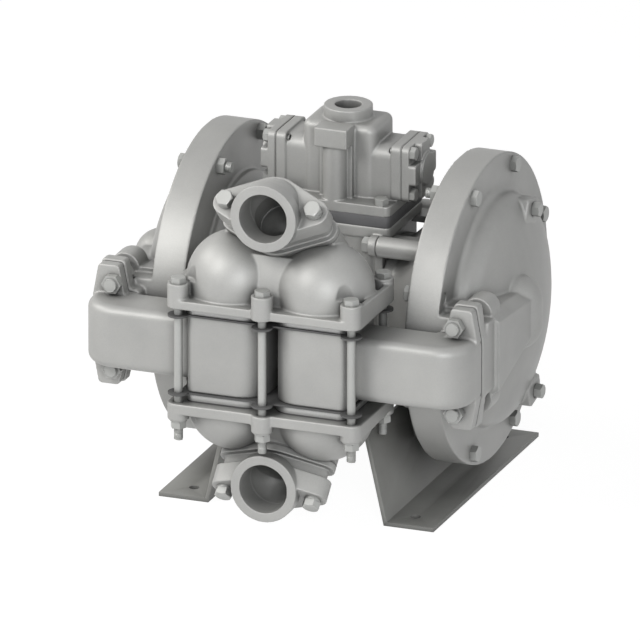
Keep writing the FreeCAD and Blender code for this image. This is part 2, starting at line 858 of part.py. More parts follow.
def air_valve_body():
    """Base flange, core, arms, end flanges, inlet boss and the pad on the front."""
    base = slab((-base_half_x, base_half_x), base_y, base_z, base_corner)
    core_y = (valve_front_y, valve_back_y)
    core = slab(
        (-valve_core_half_x, valve_core_half_x), core_y, (base_z[1] - 1, valve_core_top), 9
    )
    core = soften(core, 7, lambda e: e.BoundBox.ZMin > valve_core_top - 1e-3)
    arm_y = (valve_front_y + 1.5, valve_back_y - 1.5)
    arm = slab((-valve_arm_half_x, valve_arm_half_x), arm_y, (base_z[1] - 1, valve_arm_top - 2), 12, "x")
    arm_base = box(
        (-valve_arm_half_x, valve_arm_half_x), arm_y, (base_z[1] - 1, valve_z)
    )
    pieces = [base, core, arm, arm_base]
    for s in (1, -1):
        ends = sorted((s * valve_arm_half_x, s * valve_end_x))
        pieces.append(end_plate(ends))
    half_x, low, high, front = label_pad
    pieces.append(box((-half_x, half_x), (front, valve_front_y + 2), (low, high)))
    pieces.append(box((-half_x, half_x), (valve_front_y - 6, valve_front_y + 2), (base_z[1], low)))
    column = cylinder((0, label_column_y, base_z[1] - 1), (0, 0, 1), column_radius, low - base_z[1] + 2)
    pieces.append(column)
    foot = (0, valve_y, valve_core_top - 4)
    pieces.append(cylinder(foot, (0, 0, 1), inlet_boss_radius, inlet_top - foot[2]))
    body = fuse(pieces)
    holes = [
        cylinder((-valve_end_x, valve_y, valve_z), (1, 0, 0), sleeve_radius, 2 * valve_end_x),
        cylinder((0, valve_y, inlet_top), (0, 0, -1), inlet_radius, inlet_depth),
        cylinder((0, valve_y, inlet_top), (0, 0, -1), inlet_throat, inlet_top - valve_z),
    ]
    holes += base_holes(base_z)
    holes += air_holes((base_z[0], valve_z))
    for s in (1, -1):
        for y, z in cap_places():
            at = (s * valve_end_x, y, z)
            depth = cap_screw_grip + blind_spare
            holes.append(cylinder(at, (-s, 0, 0), cap_screw_radius + thread_gap, depth))
    return cut(body, holes)


def soften(shape, radius, choose):
    """Round the edges that a rule picks."""
    return shape.makeFillet(radius, [e for e in shape.Edges if choose(e)])


def end_plate(ends):
    y = (valve_y - valve_end_half, valve_y + valve_end_half)
    z = (valve_z - valve_end_half, valve_z + valve_end_half)
    return slab(ends, y, z, 6, "x")


def cap_places():
    offsets = (-cap_screw_offset, cap_screw_offset)
    return [(valve_y + a, valve_z + b) for a in offsets for b in offsets]


def end_cap():
    """A cap with a raised cross, so that its four screws sit in the corners."""
    start = valve_end_x + cap_gasket
    plate_end = start + cap_plate
    cross_end = plate_end + cap_cross
    plate = end_plate((start, plate_end))
    y = (valve_y - valve_end_half, valve_y + valve_end_half)
    z = (valve_z - valve_end_half, valve_z + valve_end_half)
    across = slab((plate_end - 1, cross_end), y, (valve_z - 10, valve_z + 10), 3, "x")
    upright = slab((plate_end - 1, cross_end), (valve_y - 11, valve_y + 11), z, 3, "x")
    boss = cylinder((cross_end - 1, valve_y, valve_z), (1, 0, 0), 16, cap_boss + 1)
    stop_x = spool_half_length + spool_stroke + soft_gap
    stop = cylinder((stop_x, valve_y, valve_z), (1, 0, 0), sleeve_radius - sleeve_wall - 1, start - stop_x + 1)
    body = fuse([plate, across, upright, boss, stop])
    bore = cap_screw_radius + hole_gap / 2
    return cut(body, [cylinder((start, y, z), (1, 0, 0), bore, cap_plate) for y, z in cap_places()])


def end_cap_gasket():
    ends = (valve_end_x, valve_end_x + cap_gasket)
    bore = cap_screw_radius + hole_gap / 2
    tools = [cylinder((ends[0], y, z), (1, 0, 0), bore, cap_gasket) for y, z in cap_places()]
    way = sleeve_radius - sleeve_wall
    tools.append(cylinder((ends[0], valve_y, valve_z), (1, 0, 0), way, cap_gasket))
    return cut(end_plate(ends), tools)


def end_cap_screws():
    face = valve_end_x + cap_gasket + cap_plate
    sizes = (cap_screw_radius, cap_screw_flats, cap_screw_head)
    length = cap_gasket + cap_plate + cap_screw_grip
    return group(screw((face, y, z), (1, 0, 0), *sizes, length) for y, z in cap_places())


def base_screws():
    sizes = (base_screw_radius, base_screw_flats, base_screw_head)
    length = base_thickness + spacer_thickness + base_screw_grip
    spots = [(s * base_screw_x, y, base_z[1]) for s in (1, -1) for y in base_screw_y]
    return group(screw(at, (0, 0, 1), *sizes, length) for at in spots)


def valve_sleeve():
    """A ported sleeve in the valve body, with three rows of air slots."""
    sleeve = ring(
        (-valve_end_x, valve_end_x), (sleeve_radius - sleeve_wall, sleeve_radius), valve_y, valve_z
    )
    ports = [
        cylinder((x, valve_y, valve_z - sleeve_radius - 1), (0, 0, 1), 3, 2 * sleeve_radius + 2)
        for x in (-air_hole_x, 0, air_hole_x)
    ]
    return cut(sleeve, ports)


def valve_spool():
    """The main spool: four lands on one stem."""
    start = (-spool_half_length, valve_y, valve_z)
    stem = cylinder(start, (1, 0, 0), spool_stem_radius, 2 * spool_half_length)
    land = sleeve_radius - sleeve_wall - running_gap
    width = 12.0
    gap = (2 * spool_half_length - width) / 3
    starts = [-spool_half_length + gap * i for i in range(4)]
    lands = [cylinder((x, valve_y, valve_z), (1, 0, 0), land, width) for x in starts]
    return fuse([stem] + lands)


def chest_outline(z):
    """The outline that the manifold flanges and wide gaskets share."""
    reach = manifold_boss_radius
    x = (-tie_x - reach, tie_x + reach)
    y = (tie_front_y - reach, tie_rear_y + reach)
    plate = slab(x, y, z, reach - 0.1)
    nose = cylinder((0, tie_middle_y, z[0]), (0, 0, 1), reach, z[1] - z[0])
    return fuse([plate, nose])


def tie_holes(z):
    return [
        cylinder((x, y, z[0]), (0, 0, 1), tie_radius + hole_gap, z[1] - z[0]) for x, y in tie_places
    ]


def seat_openings(z, radius):
    return [cylinder((s * seat_x, seat_y, z[0]), (0, 0, 1), radius, z[1] - z[0]) for s in (1, -1)]


def chest_gasket():
    """The wide gasket: a little larger than both columns, with a lobe at each tie bolt."""
    z = (column_half_height, seat_low)
    x = column_x[1] + gasket_overhang
    y = (column_y[0] - gasket_overhang, column_y[1] + gasket_overhang)
    lobes = [cylinder((tx, ty, z[0]), (0, 0, 1), gasket_lobe_radius, wide_gasket) for tx, ty in tie_places]
    plate = fuse([slab((-x, x), y, z, gasket_lobe_radius - 1)] + lobes)
    return cut(plate, tie_holes(z) + seat_openings(z, column_cavity_radius))


def seat_blank(z):
    """The right-hand seat plate's outline."""
    x = (column_x[0] - 1.2, column_x[1] + 0.7)
    y = (column_y[0] - 1, column_y[1] - 4)
    points = [(x[0], y[0], z[0]), (x[1], y[0], z[0]), (x[1], y[1], z[0]), (x[0], y[1], z[0])]
    return Part.Face(rounded(points, seat_corners)).extrude(Vector(0, 0, z[1] - z[0]))


def seat_plate(z):
    """A seat plate with its cone on the upper side."""
    bore = cylinder((seat_x, seat_y, z[0]), (0, 0, 1), seat_bore_radius, seat_plate_thickness)
    wide = seat_bore_radius + seat_cone_depth
    foot = Vector(seat_x, seat_y, z[1] - seat_cone_depth)
    cone = Part.makeCone(seat_bore_radius, wide, seat_cone_depth, foot)
    return cut(seat_blank(z), [bore, cone])


def seat_gaskets():
    z = (seat_high, flange_face)
    bore = cylinder((seat_x, seat_y, z[0]), (0, 0, 1), seat_cavity_radius(), thin_gasket)
    return both(seat_blank(z).cut(bore))


def guide_ribs(foot, plate_top, outer):
    """Four ribs that centre a ball above its seat, with a step that stops it."""
    stop = plate_top + ball_rise + ball_lift + stop_rise
    top = stop + guide_step_height
    half = (-guide_thickness / 2, guide_thickness / 2)
    ribs = []
    for angle in (45, 135, 225, 315):
        rib = box((guide_radius, outer), half, (foot, top))
        step = box((guide_radius - guide_step, outer), half, (stop, top))
        for piece in (rib, step):
            piece.rotate(Vector(0, 0, 0), Vector(0, 0, 1), angle)
            piece.translate(Vector(seat_x, seat_y, 0))
            ribs.append(piece)
    return ribs


def elbow_arm(end):
    """The outside of the arm, with its long edges rounded."""
    outline = [
        (seat_x, arm_front_y, -arm_half_height),
        (arm_end_x, arm_front_y, -arm_half_height),
        (arm_end_x, end, -arm_half_height),
        (pad_x[0], end, -arm_half_height),
        (pad_x[0], arm_back_y, -arm_half_height),
        (seat_x, arm_back_y, -arm_half_height),
    ]
    outside = Part.Face(rounded(outline, [0, arm_corner, 0, 0, 0, 0]))
    arm = outside.extrude(Vector(0, 0, 2 * arm_half_height))

    def long_edge(edge):
        b = edge.BoundBox
        level = abs(abs(b.ZMin) - arm_half_height) < 1e-3 and b.ZLength < 1e-3
        return level and b.YMin < arm_back_y - 1 and b.XMax > seat_x + 1

    return soften(arm, arm_edge_round, long_edge)


def elbow_passage(end):
    """The way through the arm, from beside the ball to the joint with the chamber."""
    start = seat_x + ball_radius
    way = (arm_front_y + casting_wall, arm_back_y - casting_wall)
    route = [
        (start, way[0], -passage_half_height),
        (passage_x[1], way[0], -passage_half_height),
        (passage_x[1], end, -passage_half_height),
        (passage_x[0], end, -passage_half_height),
        (passage_x[0], way[1], -passage_half_height),
        (start, way[1], -passage_half_height),
    ]
    bend = [0, arm_corner - casting_wall, 0, 0, passage_inner_corner, 0]
    return Part.Face(rounded(route, bend)).extrude(Vector(0, 0, 2 * passage_half_height))


def flow_elbow():
    """The column for two check valves and the arm that turns back to the chamber's duct."""
    low, high = -column_half_height, column_half_height
    (x0, x1), (y0, y1) = column_x, column_y
    points = [(x0, y0, low), (x1, y0, low), (x1, y1, low), (x0, y1, low)]
    column = Part.Face(rounded(points, column_corners)).extrude(Vector(0, 0, high - low))
    end = joint_y - elbow_gasket / 2
    ears = [ear(side, end - ear_thickness, ear_thickness, 0) for side in (1, -1)]
    body = fuse([column, elbow_arm(end)] + ears)
    body = body.cut(cylinder((seat_x, seat_y, low), (0, 0, 1), column_cavity_radius, high - low))
    body = fuse([body] + guide_ribs(low, -seat_low, column_cavity_radius + guide_root))
    bore = ear_bolt_radius + hole_gap / 2
    holes = [elbow_passage(end)]
    for side in (1, -1):
        holes.append(cylinder((ear_bolt_x, end, side * ear_bolt_z), (0, -1, 0), bore, ear_thickness))
    return cut(body, holes)


def elbow_gasket_plate():
    """The thin gasket in the elbow's joint, with its ears."""
    start = joint_y - elbow_gasket / 2
    z = (-arm_half_height, arm_half_height)
    plate = slab((pad_x[0], arm_end_x), (start, start + elbow_gasket), z, 6, "y")
    body = fuse([plate] + [ear(side, start, elbow_gasket, 0) for side in (1, -1)])
    way = slab(passage_x, (start, start + elbow_gasket), (-passage_half_height, passage_half_height), 6, "y")
    bore = ear_bolt_radius + hole_gap / 2
    holes = [cylinder((ear_bolt_x, start, s * ear_bolt_z), (0, 1, 0), bore, elbow_gasket) for s in (1, -1)]
    return cut(body, [way] + holes)


def ear_bolts():
    """Bolts from behind the chamber's ears, with their nuts at the front."""
    back = joint_y + elbow_gasket / 2 + ear_thickness + 1
    front = joint_y - elbow_gasket / 2 - ear_thickness
    length = back - front + ear_nut_height + ear_bolt_spare
    spots = [(ear_bolt_x, back, side * ear_bolt_z) for side in (1, -1)]
    sizes = (ear_bolt_radius, ear_bolt_flats, ear_head_height)
    return group(screw(at, (0, 1, 0), *sizes, length) for at in spots)


def ear_nuts():
    front = joint_y - elbow_gasket / 2 - ear_thickness
    spots = [(ear_bolt_x, front, side * ear_bolt_z) for side in (1, -1)]
    return group(nut(at, (0, -1, 0), ear_bolt_radius, ear_bolt_flats, ear_nut_height) for at in spots)


def tie_bolts():
    """The long bolts that clamp both manifolds on the columns."""
    top = flange_face + discharge["boss"]
    bottom = -(flange_face + suction["boss"])
    length = top - bottom + tie_washer + tie_nut + tie_end_spare
    return group(
        screw((x, y, top), (0, 0, 1), tie_radius, tie_flats, tie_head, length) for x, y in tie_places
    )


def tie_washers():
    z = -(flange_face + suction["boss"])
    bore = tie_radius + hole_gap / 2
    return group(washer((x, y, z), (0, 0, -1), bore, tie_washer_radius, tie_washer) for x, y in tie_places)


def tie_nuts():
    z = -(flange_face + suction["boss"] + tie_washer)
    return group(nut((x, y, z), (0, 0, -1), tie_radius, tie_flats, tie_nut) for x, y in tie_places)


def tilted(shape, sizes):
    """Carry a shape from the joint's own frame, where +Z leaves the manifold, to its place."""
    shape = shape.copy()
    shape.rotate(Vector(0, 0, 0), Vector(1, 0, 0), 45)
    drop = sizes["turn"] * math.sqrt(0.5)
    slide = port_flange_drop * math.sqrt(0.5)
    shape.translate(Vector(0, port_turn_y + drop - slide, sizes["port"] - drop - slide))
    return shape


def oval(middle, end, pitch, z):
    """A plate whose outline runs round a large circle and two small ones."""
    angle = math.acos((middle - end) / pitch)
    c, s = math.cos(angle), math.sin(angle)
    corner = {}
    for side in (1, -1):
        for up in (1, -1):
            corner[side, up, 0] = Vector(side * middle * c, up * middle * s, z[0])
            corner[side, up, 1] = Vector(side * (pitch + end * c), up * end * s, z[0])
    edges = []
    for up in (1, -1):
        top = Vector(0, up * middle, z[0])
        edges.append(Part.Arc(corner[-1, up, 0], top, corner[1, up, 0]).toShape())
        for side in (1, -1):
            edges.append(Part.LineSegment(corner[side, up, 0], corner[side, up, 1]).toShape())
    for side in (1, -1):
        tip = Vector(side * (pitch + end), 0, z[0])
        edges.append(Part.Arc(corner[side, 1, 1], tip, corner[side, -1, 1]).toShape())
    wire = Part.Wire(Part.__sortEdges__(edges))
    return Part.Face(wire).extrude(Vector(0, 0, z[1] - z[0]))


def manifold(sizes):
    """Flange, two valve domes and the neck up to the port joint, drawn for the top."""
    plate_top = flange_face + sizes["plate"]
    boss_top = flange_face + sizes["boss"]
    dome_z = sizes["dome"]
    pieces = [chest_outline((flange_face, plate_top))]
    for x, y in tie_places:
        height = boss_top - flange_face
        pieces.append(cylinder((x, y, flange_face), (0, 0, 1), manifold_boss_radius, height))
    edge = tie_x + manifold_boss_radius
    for s in (1, -1):
        side = [
            (s * edge, tie_front_y, flange_face),
            (s * edge, tie_front_y, boss_top - 2),
            (s * edge, tie_rear_y, boss_top - 5),
            (s * edge, tie_rear_y, flange_face),
        ]
        pieces.append(polygon(side, (-s * 6, 0, 0)))
        pieces.append(ball((s * seat_x, seat_y, dome_z), valve_dome_radius))
        start = (s * seat_x, seat_y, flange_face)
        pieces.append(cylinder(start, (0, 0, 1), valve_dome_radius, dome_z - flange_face))
    neck = tilted(oval(port_flange_radius, port_ear_radius, port_bolt_x, (-far, -port_gasket)), sizes)
    pieces.append(neck.common(box((-far, far), (-far, seat_y + neck_back), (flange_face, far))))
    web = [
        (-20, seat_y, flange_face),
        (-20, seat_y - 37, flange_face),
        (-20, seat_y - 35, dome_z),
        (-20, seat_y - 22, dome_z + 35),
        (-20, seat_y, dome_z + 35),
    ]
    pieces.append(polygon(web, (40, 0, 0)))
    plenum_y = seat_y + plenum_back
    plenum_z = dome_z + 20
    plenum = (-seat_x, plenum_y, plenum_z)
    pieces.append(cylinder(plenum, (1, 0, 0), plenum_radius + casting_wall, 2 * seat_x))
    body = fuse(pieces).common(box((-far, far), (-far, 0), (flange_face, far)))
    seat = tilted(oval(port_flange_radius, port_ear_radius, port_bolt_x, (-port_gasket, 40)), sizes)
    holes = [seat, cylinder(plenum, (1, 0, 0), plenum_radius, 2 * seat_x)]
    upper = box((-far, far), (-far, 0), (dome_z, far))
    for s in (1, -1):
        holes.append(ball((s * seat_x, seat_y, dome_z), sizes["cavity"]).common(upper))
        start = (s * seat_x, seat_y, flange_face)
        holes.append(cylinder(start, (0, 0, 1), seat_cavity_radius(), dome_z - flange_face))
        bolt = cylinder((s * port_bolt_x, 0, 0), (0, 0, -1), port_bolt_radius + thread_gap, port_bolt_depth)
        holes.append(tilted(bolt, sizes))
    holes += neck_way(sizes, plenum_y, plenum_z)
    holes += tie_holes((flange_face, boss_top))
    for x, y in tie_places:
        relief = bolt_relief_radius if x else tie_washer_radius
        holes.append(cylinder((x, y, boss_top), (0, 0, 1), relief, valve_dome_radius))
    return cut(body, holes)


def neck_way(sizes, plenum_y, plenum_z):
    """The bore from the port joint: square to the joint, then straight down to the plenum."""
    reach = (plenum_y - port_turn_y) * math.sqrt(2) - sizes["turn"]
    turn = (0, plenum_y, sizes["port"] - (plenum_y - port_turn_y))
    first = tilted(cylinder((0, port_flange_drop, 0), (0, 0, -1), neck_bore, reach), sizes)
    riser = cylinder((0, plenum_y, plenum_z), (0, 0, 1), riser_bore, turn[2] - plenum_z)
    return [first, ball(turn, neck_bore - running_gap), riser]


def seat_cavity_radius():
    """The dome's bore where it meets the seat plate, inside the plate's edges."""
    return min(discharge["cavity"], seat_x - column_x[0] - 4)


def discharge_manifold():
    """The upper manifold, whose domes also guide the discharge balls."""
    inside = discharge["cavity"] + guide_root
    height = discharge["dome"] - flange_face
    room = cylinder((seat_x, seat_y, flange_face), (0, 0, 1), inside, height)
    room = room.fuse(ball((seat_x, seat_y, discharge["dome"]), inside))
    ribs = [r.common(room) for r in guide_ribs(flange_face, seat_high, inside)]
    return fuse([manifold(discharge)] + ribs + [mirrored(r) for r in ribs])


def port_elbow(sizes):
    """A pipe collar turned 45 degrees onto its oval base, with a waist below the bolt ears."""
    port_z = sizes["port"]
    top = sizes["turn"] + sizes["ear"]
    narrow = [r - port_waist_inset for r in (port_flange_radius, port_ear_radius)]
    plates = [
        oval(port_flange_radius, port_ear_radius, port_bolt_x, (top - port_ear_plate, top)),
        oval(*narrow, port_bolt_x, (0, top)),
        oval(port_flange_radius, port_ear_radius, port_bolt_x, (0, port_base_plate)),
        cylinder((0, port_flange_drop, 0), (0, 0, 1), port_barrel_radius, sizes["turn"]),
    ]
    collar = cylinder((0, port_face_y, port_z), (0, 1, 0), port_collar_radius, port_collar_length)
    barrel = cylinder((0, port_face_y, port_z), (0, 1, 0), port_barrel_radius, port_turn_y - port_face_y)
    turn = ball((0, port_turn_y, port_z), port_barrel_radius)
    body = fuse([tilted(p, sizes) for p in plates] + [collar, barrel, turn])
    tools = [tilted(box((-far, far), (-far, far), (-far, 0)), sizes)]
    tools.append(box((-far, far), (port_face_y - far, port_face_y), (port_z - far, port_z + far)))
    for s in (1, -1):
        at = (s * port_bolt_x, 0, 0)
        tools.append(tilted(cylinder(at, (0, 0, 1), port_bolt_radius + hole_gap / 2, top + 1), sizes))
    bore = cylinder((0, port_face_y, port_z), (0, 1, 0), port_radius, port_turn_y - port_face_y)
    bend = ball((0, port_turn_y, port_z), port_radius - 0.5)
    length = sizes["turn"] + 1
    throat = tilted(cylinder((0, port_flange_drop, -1), (0, 0, 1), neck_bore, length), sizes)
    return cut(cut(body, tools), [bore, bend, throat])


def port_gasket_plate(sizes):
    plate = oval(port_flange_radius, port_ear_radius, port_bolt_x, (-port_gasket, 0))
    bore = cylinder((0, 0, -port_gasket), (0, 0, 1), port_radius, port_gasket)
    radius = port_bolt_radius + hole_gap / 2
    bolts = [
        cylinder((s * port_bolt_x, 0, -port_gasket), (0, 0, 1), radius, port_gasket) for s in (1, -1)
    ]
    return tilted(cut(plate, [bore] + bolts), sizes)


def port_bolts(sizes):
    face = sizes["turn"] + sizes["ear"] + port_lock_washer
    length = face + port_bolt_depth - blind_spare
    sizes_of_bolt = (port_bolt_radius, port_bolt_flats, port_bolt_head)
    shapes = [
        screw((s * port_bolt_x, 0, face), (0, 0, 1), *sizes_of_bolt, length)
        for s in (1, -1)
    ]
    return group(tilted(b, sizes) for b in shapes)


def port_washers(sizes):
    """Split lock washers under the port bolts."""
    rings = []
    for s in (1, -1):
        at = (s * port_bolt_x, 0, sizes["turn"] + sizes["ear"])
        piece = washer(at, (0, 0, 1), port_bolt_radius + 0.2, port_bolt_radius + 3.4, port_lock_washer)
        slot = box((at[0], at[0] + 12 * s), (-0.7, 0.7), (at[2] - 1, at[2] + port_lock_washer + 1))
        rings.append(tilted(piece.cut(slot), sizes))
    return group(rings)


def foot():
    """One bent plate: a flange on the floor and a leaning web that tapers upward."""
    floor = -axis_height
    flange = box(
        (foot_bend_x - foot_thickness, foot_outer_x),
        (-foot_half_length, foot_half_length),
        (floor, floor + foot_thickness),
    )
    half = foot_half_length
    side = [(-half, 0), (-half + foot_web_taper, foot_web_height)]
    outline = side + [(-y, h) for y, h in reversed(side)]
    web = polygon([(0, y, h) for y, h in outline], (-foot_thickness, 0, 0))
    web.rotate(Vector(0, 0, 0), Vector(0, 1, 0), -foot_lean)
    web.translate(Vector(foot_bend_x, 0, floor))
    under = box((0, far), (-far, far), (floor - far, floor))
    foot_at, up, out = foot_frame()
    holes = [under]
    for y in (-foot_hole_y, foot_hole_y):
        holes.append(cylinder((foot_hole_x, y, floor), (0, 0, 1), foot_hole_radius, foot_thickness))
    for y in (-foot_lug_y, foot_lug_y):
        start = foot_at + up * foot_bolt_up + Vector(0, y, 0) - out * 10
        holes.append(cylinder(start, out, foot_bolt_radius + hole_gap / 2, 20))
    return cut(fuse([flange, web]), holes)


def foot_bolts():
    foot_at, up, out = foot_frame()
    bolts = []
    for y in (-foot_lug_y, foot_lug_y):
        start = foot_at + up * foot_bolt_up + Vector(0, y, 0) - out * foot_thickness
        inward = (-out.x, -out.y, -out.z)
        length = foot_thickness + foot_bolt_grip
        bolts.append(screw(start, inward, foot_bolt_radius, foot_bolt_flats, foot_bolt_head, length))
    return group(bolts)


def check_ball(x, z):
    return ball((x, seat_y, z), ball_radius)


def pair(name, shape):
    """A right-hand piece and its mirror image, each in its own node."""
    parts["right_" + name] = shape
    parts["left_" + name] = mirrored(shape)


def both(shape):
    return group([shape, mirrored(shape)])


def build():
    pair("foot", foot())
    parts["foot_bolts"] = both(foot_bolts())
    pair("inner_chamber", inner_chamber())
    pair("outer_chamber", outer_chamber())
    pair("diaphragm", diaphragm())
    pair("inner_plate", inner_plate())
    pair("outer_plate", outer_plate())
    parts["diaphragm_rod"] = diaphragm_rod()
    parts["rod_bushings"] = rod_bushings()
    parts["rod_seals"] = rod_seals()
    parts["chamber_bolts"] = both(chamber_bolts())
    parts["chamber_nuts"] = both(chamber_nuts())
    parts["pipe_plugs"] = both(plugs())
    parts["intermediate_housing"] = intermediate_housing()
    parts["frame_screws"] = frame_screws()
    parts["pilot_sleeve"] = pilot_sleeve()
    parts["pilot_spool"] = pilot_spool()
    parts["valve_spacer"] = valve_spacer()
    parts["air_valve_body"] = air_valve_body()
    parts["air_valve_screws"] = base_screws()
    parts["valve_sleeve"] = valve_sleeve()
    parts["valve_spool"] = valve_spool()
    pair("end_cap", end_cap())
    parts["end_cap_gaskets"] = both(end_cap_gasket())
    parts["end_cap_screws"] = both(end_cap_screws())
    pair("flow_elbow", flow_elbow())
    parts["elbow_gaskets"] = both(elbow_gasket_plate())
    parts["elbow_bolts"] = both(ear_bolts())
    parts["elbow_nuts"] = both(ear_nuts())
    parts["upper_chest_gasket"] = chest_gasket()
    parts["lower_chest_gasket"] = flipped(chest_gasket())
    pair("discharge_seat", seat_plate((seat_low, seat_high)))
    pair("suction_seat", seat_plate((-seat_high, -seat_low)))
    parts["upper_seat_gaskets"] = seat_gaskets()
    parts["lower_seat_gaskets"] = flipped(seat_gaskets())
    parts["discharge_manifold"] = discharge_manifold()
    parts["suction_manifold"] = flipped(manifold(suction))
    parts["tie_bolts"] = tie_bolts()
    parts["tie_washers"] = tie_washers()
    parts["tie_nuts"] = tie_nuts()
    parts["discharge_port_elbow"] = port_elbow(discharge)
    parts["suction_port_elbow"] = flipped(port_elbow(suction))
    parts["port_gaskets"] = group([port_gasket_plate(discharge), flipped(port_gasket_plate(suction))])
    parts["port_bolts"] = group([port_bolts(discharge), flipped(port_bolts(suction))])
    parts["port_lock_washers"] = group([port_washers(discharge), flipped(port_washers(suction))])
    for side, x in (("right", seat_x), ("left", -seat_x)):
        parts[side + "_discharge_ball"] = check_ball(x, seat_high + ball_rise)
        parts[side + "_suction_ball"] = check_ball(x, ball_rise - seat_low)


def write():
    os.makedirs("parts", exist_ok=True)
    for name, shape in parts.items():
        shape = shape.copy()
        shape.translate(Vector(0, 0, axis_height))
        solids = shape.Solids
        if not solids or not shape.isValid():
            print(name, "is not a valid solid")
        shape.exportStep("parts/" + name + ".step")
        b = shape.BoundBox
        ends = (b.XMin, b.XMax, b.YMin, b.YMax, b.ZMin, b.ZMax)
        print(name, len(solids), round(shape.Volume / 1000, 1), "cm3", [round(v, 1) for v in ends])


build()
write()
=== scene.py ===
import json
import math
import bmesh
import bpy
from mathutils import Matrix, Vector


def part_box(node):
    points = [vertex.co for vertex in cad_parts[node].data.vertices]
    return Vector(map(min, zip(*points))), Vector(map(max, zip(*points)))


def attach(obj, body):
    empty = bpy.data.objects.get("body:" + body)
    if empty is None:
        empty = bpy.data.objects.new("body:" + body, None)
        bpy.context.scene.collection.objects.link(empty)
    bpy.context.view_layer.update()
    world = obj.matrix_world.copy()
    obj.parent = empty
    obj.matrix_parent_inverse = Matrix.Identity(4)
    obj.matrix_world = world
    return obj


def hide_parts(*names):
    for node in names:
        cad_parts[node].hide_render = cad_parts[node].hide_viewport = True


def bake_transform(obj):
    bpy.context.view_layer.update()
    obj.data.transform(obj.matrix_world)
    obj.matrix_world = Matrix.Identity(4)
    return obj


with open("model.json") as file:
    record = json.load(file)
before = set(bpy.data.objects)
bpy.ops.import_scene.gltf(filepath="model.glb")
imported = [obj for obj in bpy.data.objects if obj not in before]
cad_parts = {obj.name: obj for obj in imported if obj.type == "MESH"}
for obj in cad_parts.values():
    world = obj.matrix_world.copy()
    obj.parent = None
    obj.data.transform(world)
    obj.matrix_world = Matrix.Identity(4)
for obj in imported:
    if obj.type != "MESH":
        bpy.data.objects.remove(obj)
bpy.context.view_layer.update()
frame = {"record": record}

view = dict(
    azimuth=21.0, elevation=19.8, width=0.6048, sensor=36.0, lens=1500.0,
    target=(-0.0297, 0.0, 0.1431), clipStart=0.1, clipEnd=100.0,
)


def pointedAway(turn, height):
    # turn goes from the front to the right, height up from the floor, both in degrees
    across, up = math.radians(turn), math.radians(height)
    return Vector((math.sin(across) * math.cos(up), -math.cos(across) * math.cos(up), math.sin(up)))


def makeCamera():
    data = bpy.data.cameras.new("camera")
    data.sensor_width = view["sensor"]
    data.lens = view["lens"]
    distance = view["width"] * view["lens"] / view["sensor"]
    back = pointedAway(view["azimuth"], view["elevation"])
    camera = bpy.data.objects.new("camera", data)
    camera.rotation_mode = "QUATERNION"
    camera.location = Vector(view["target"]) + back * distance
    camera.rotation_quaternion = (-back).to_track_quat("-Z", "Y")
    data.clip_start = view["clipStart"]
    data.clip_end = view["clipEnd"]
    bpy.context.collection.objects.link(camera)
    bpy.context.scene.camera = camera


# what all finishes share; shade is painted into crevices, darker where another surface lies within reach
pattern = dict(
    cloudScale=14.0, cloudDetail=5.0, cloudEdges=(0.3, 0.7), noiseRoughness=0.6,
    speckDetail=3.0, speckEdges=(0.35, 0.6), speckShade=0.72, roughEdges=(0.3, 0.7),
    creviceReach=0.045, creviceShade=0.28, creviceEdges=(0.15, 0.85), creviceSamples=8,
)


def emptyTree(owner):
    # the owner is a material or the world
    owner.use_nodes = True
    owner.node_tree.nodes.clear()
    return owner.node_tree


def grey(value):
    return (value, value, value)


def fade(tree, factor, edges, low, high):
    # low up to the first edge and high from the second, evenly between them
    node = tree.nodes.new("ShaderNodeValToRGB")
    for element, place, colour in zip(node.color_ramp.elements, edges, (low, high)):
        element.position = place
        element.color = (*colour, 1.0)
    tree.links.new(factor, node.inputs["Fac"])
    return node.outputs["Color"]


def noise(tree, coordinate, scale, detail):
    node = tree.nodes.new("ShaderNodeTexNoise")
    node.inputs["Scale"].default_value = scale
    node.inputs["Detail"].default_value = detail
    node.inputs["Roughness"].default_value = pattern["noiseRoughness"]
    tree.links.new(coordinate, node.inputs["Vector"])
    return node.outputs["Fac"]


def multiplied(tree, colour, shade, factor):
    # colour times shade, as far as factor says
    node = tree.nodes.new("ShaderNodeMix")
    node.data_type = "RGBA"
    node.blend_type = "MULTIPLY"
    node.inputs["Factor"].default_value = factor
    tree.links.new(colour, node.inputs[6])
    tree.links.new(shade, node.inputs[7])
    return node.outputs[2]


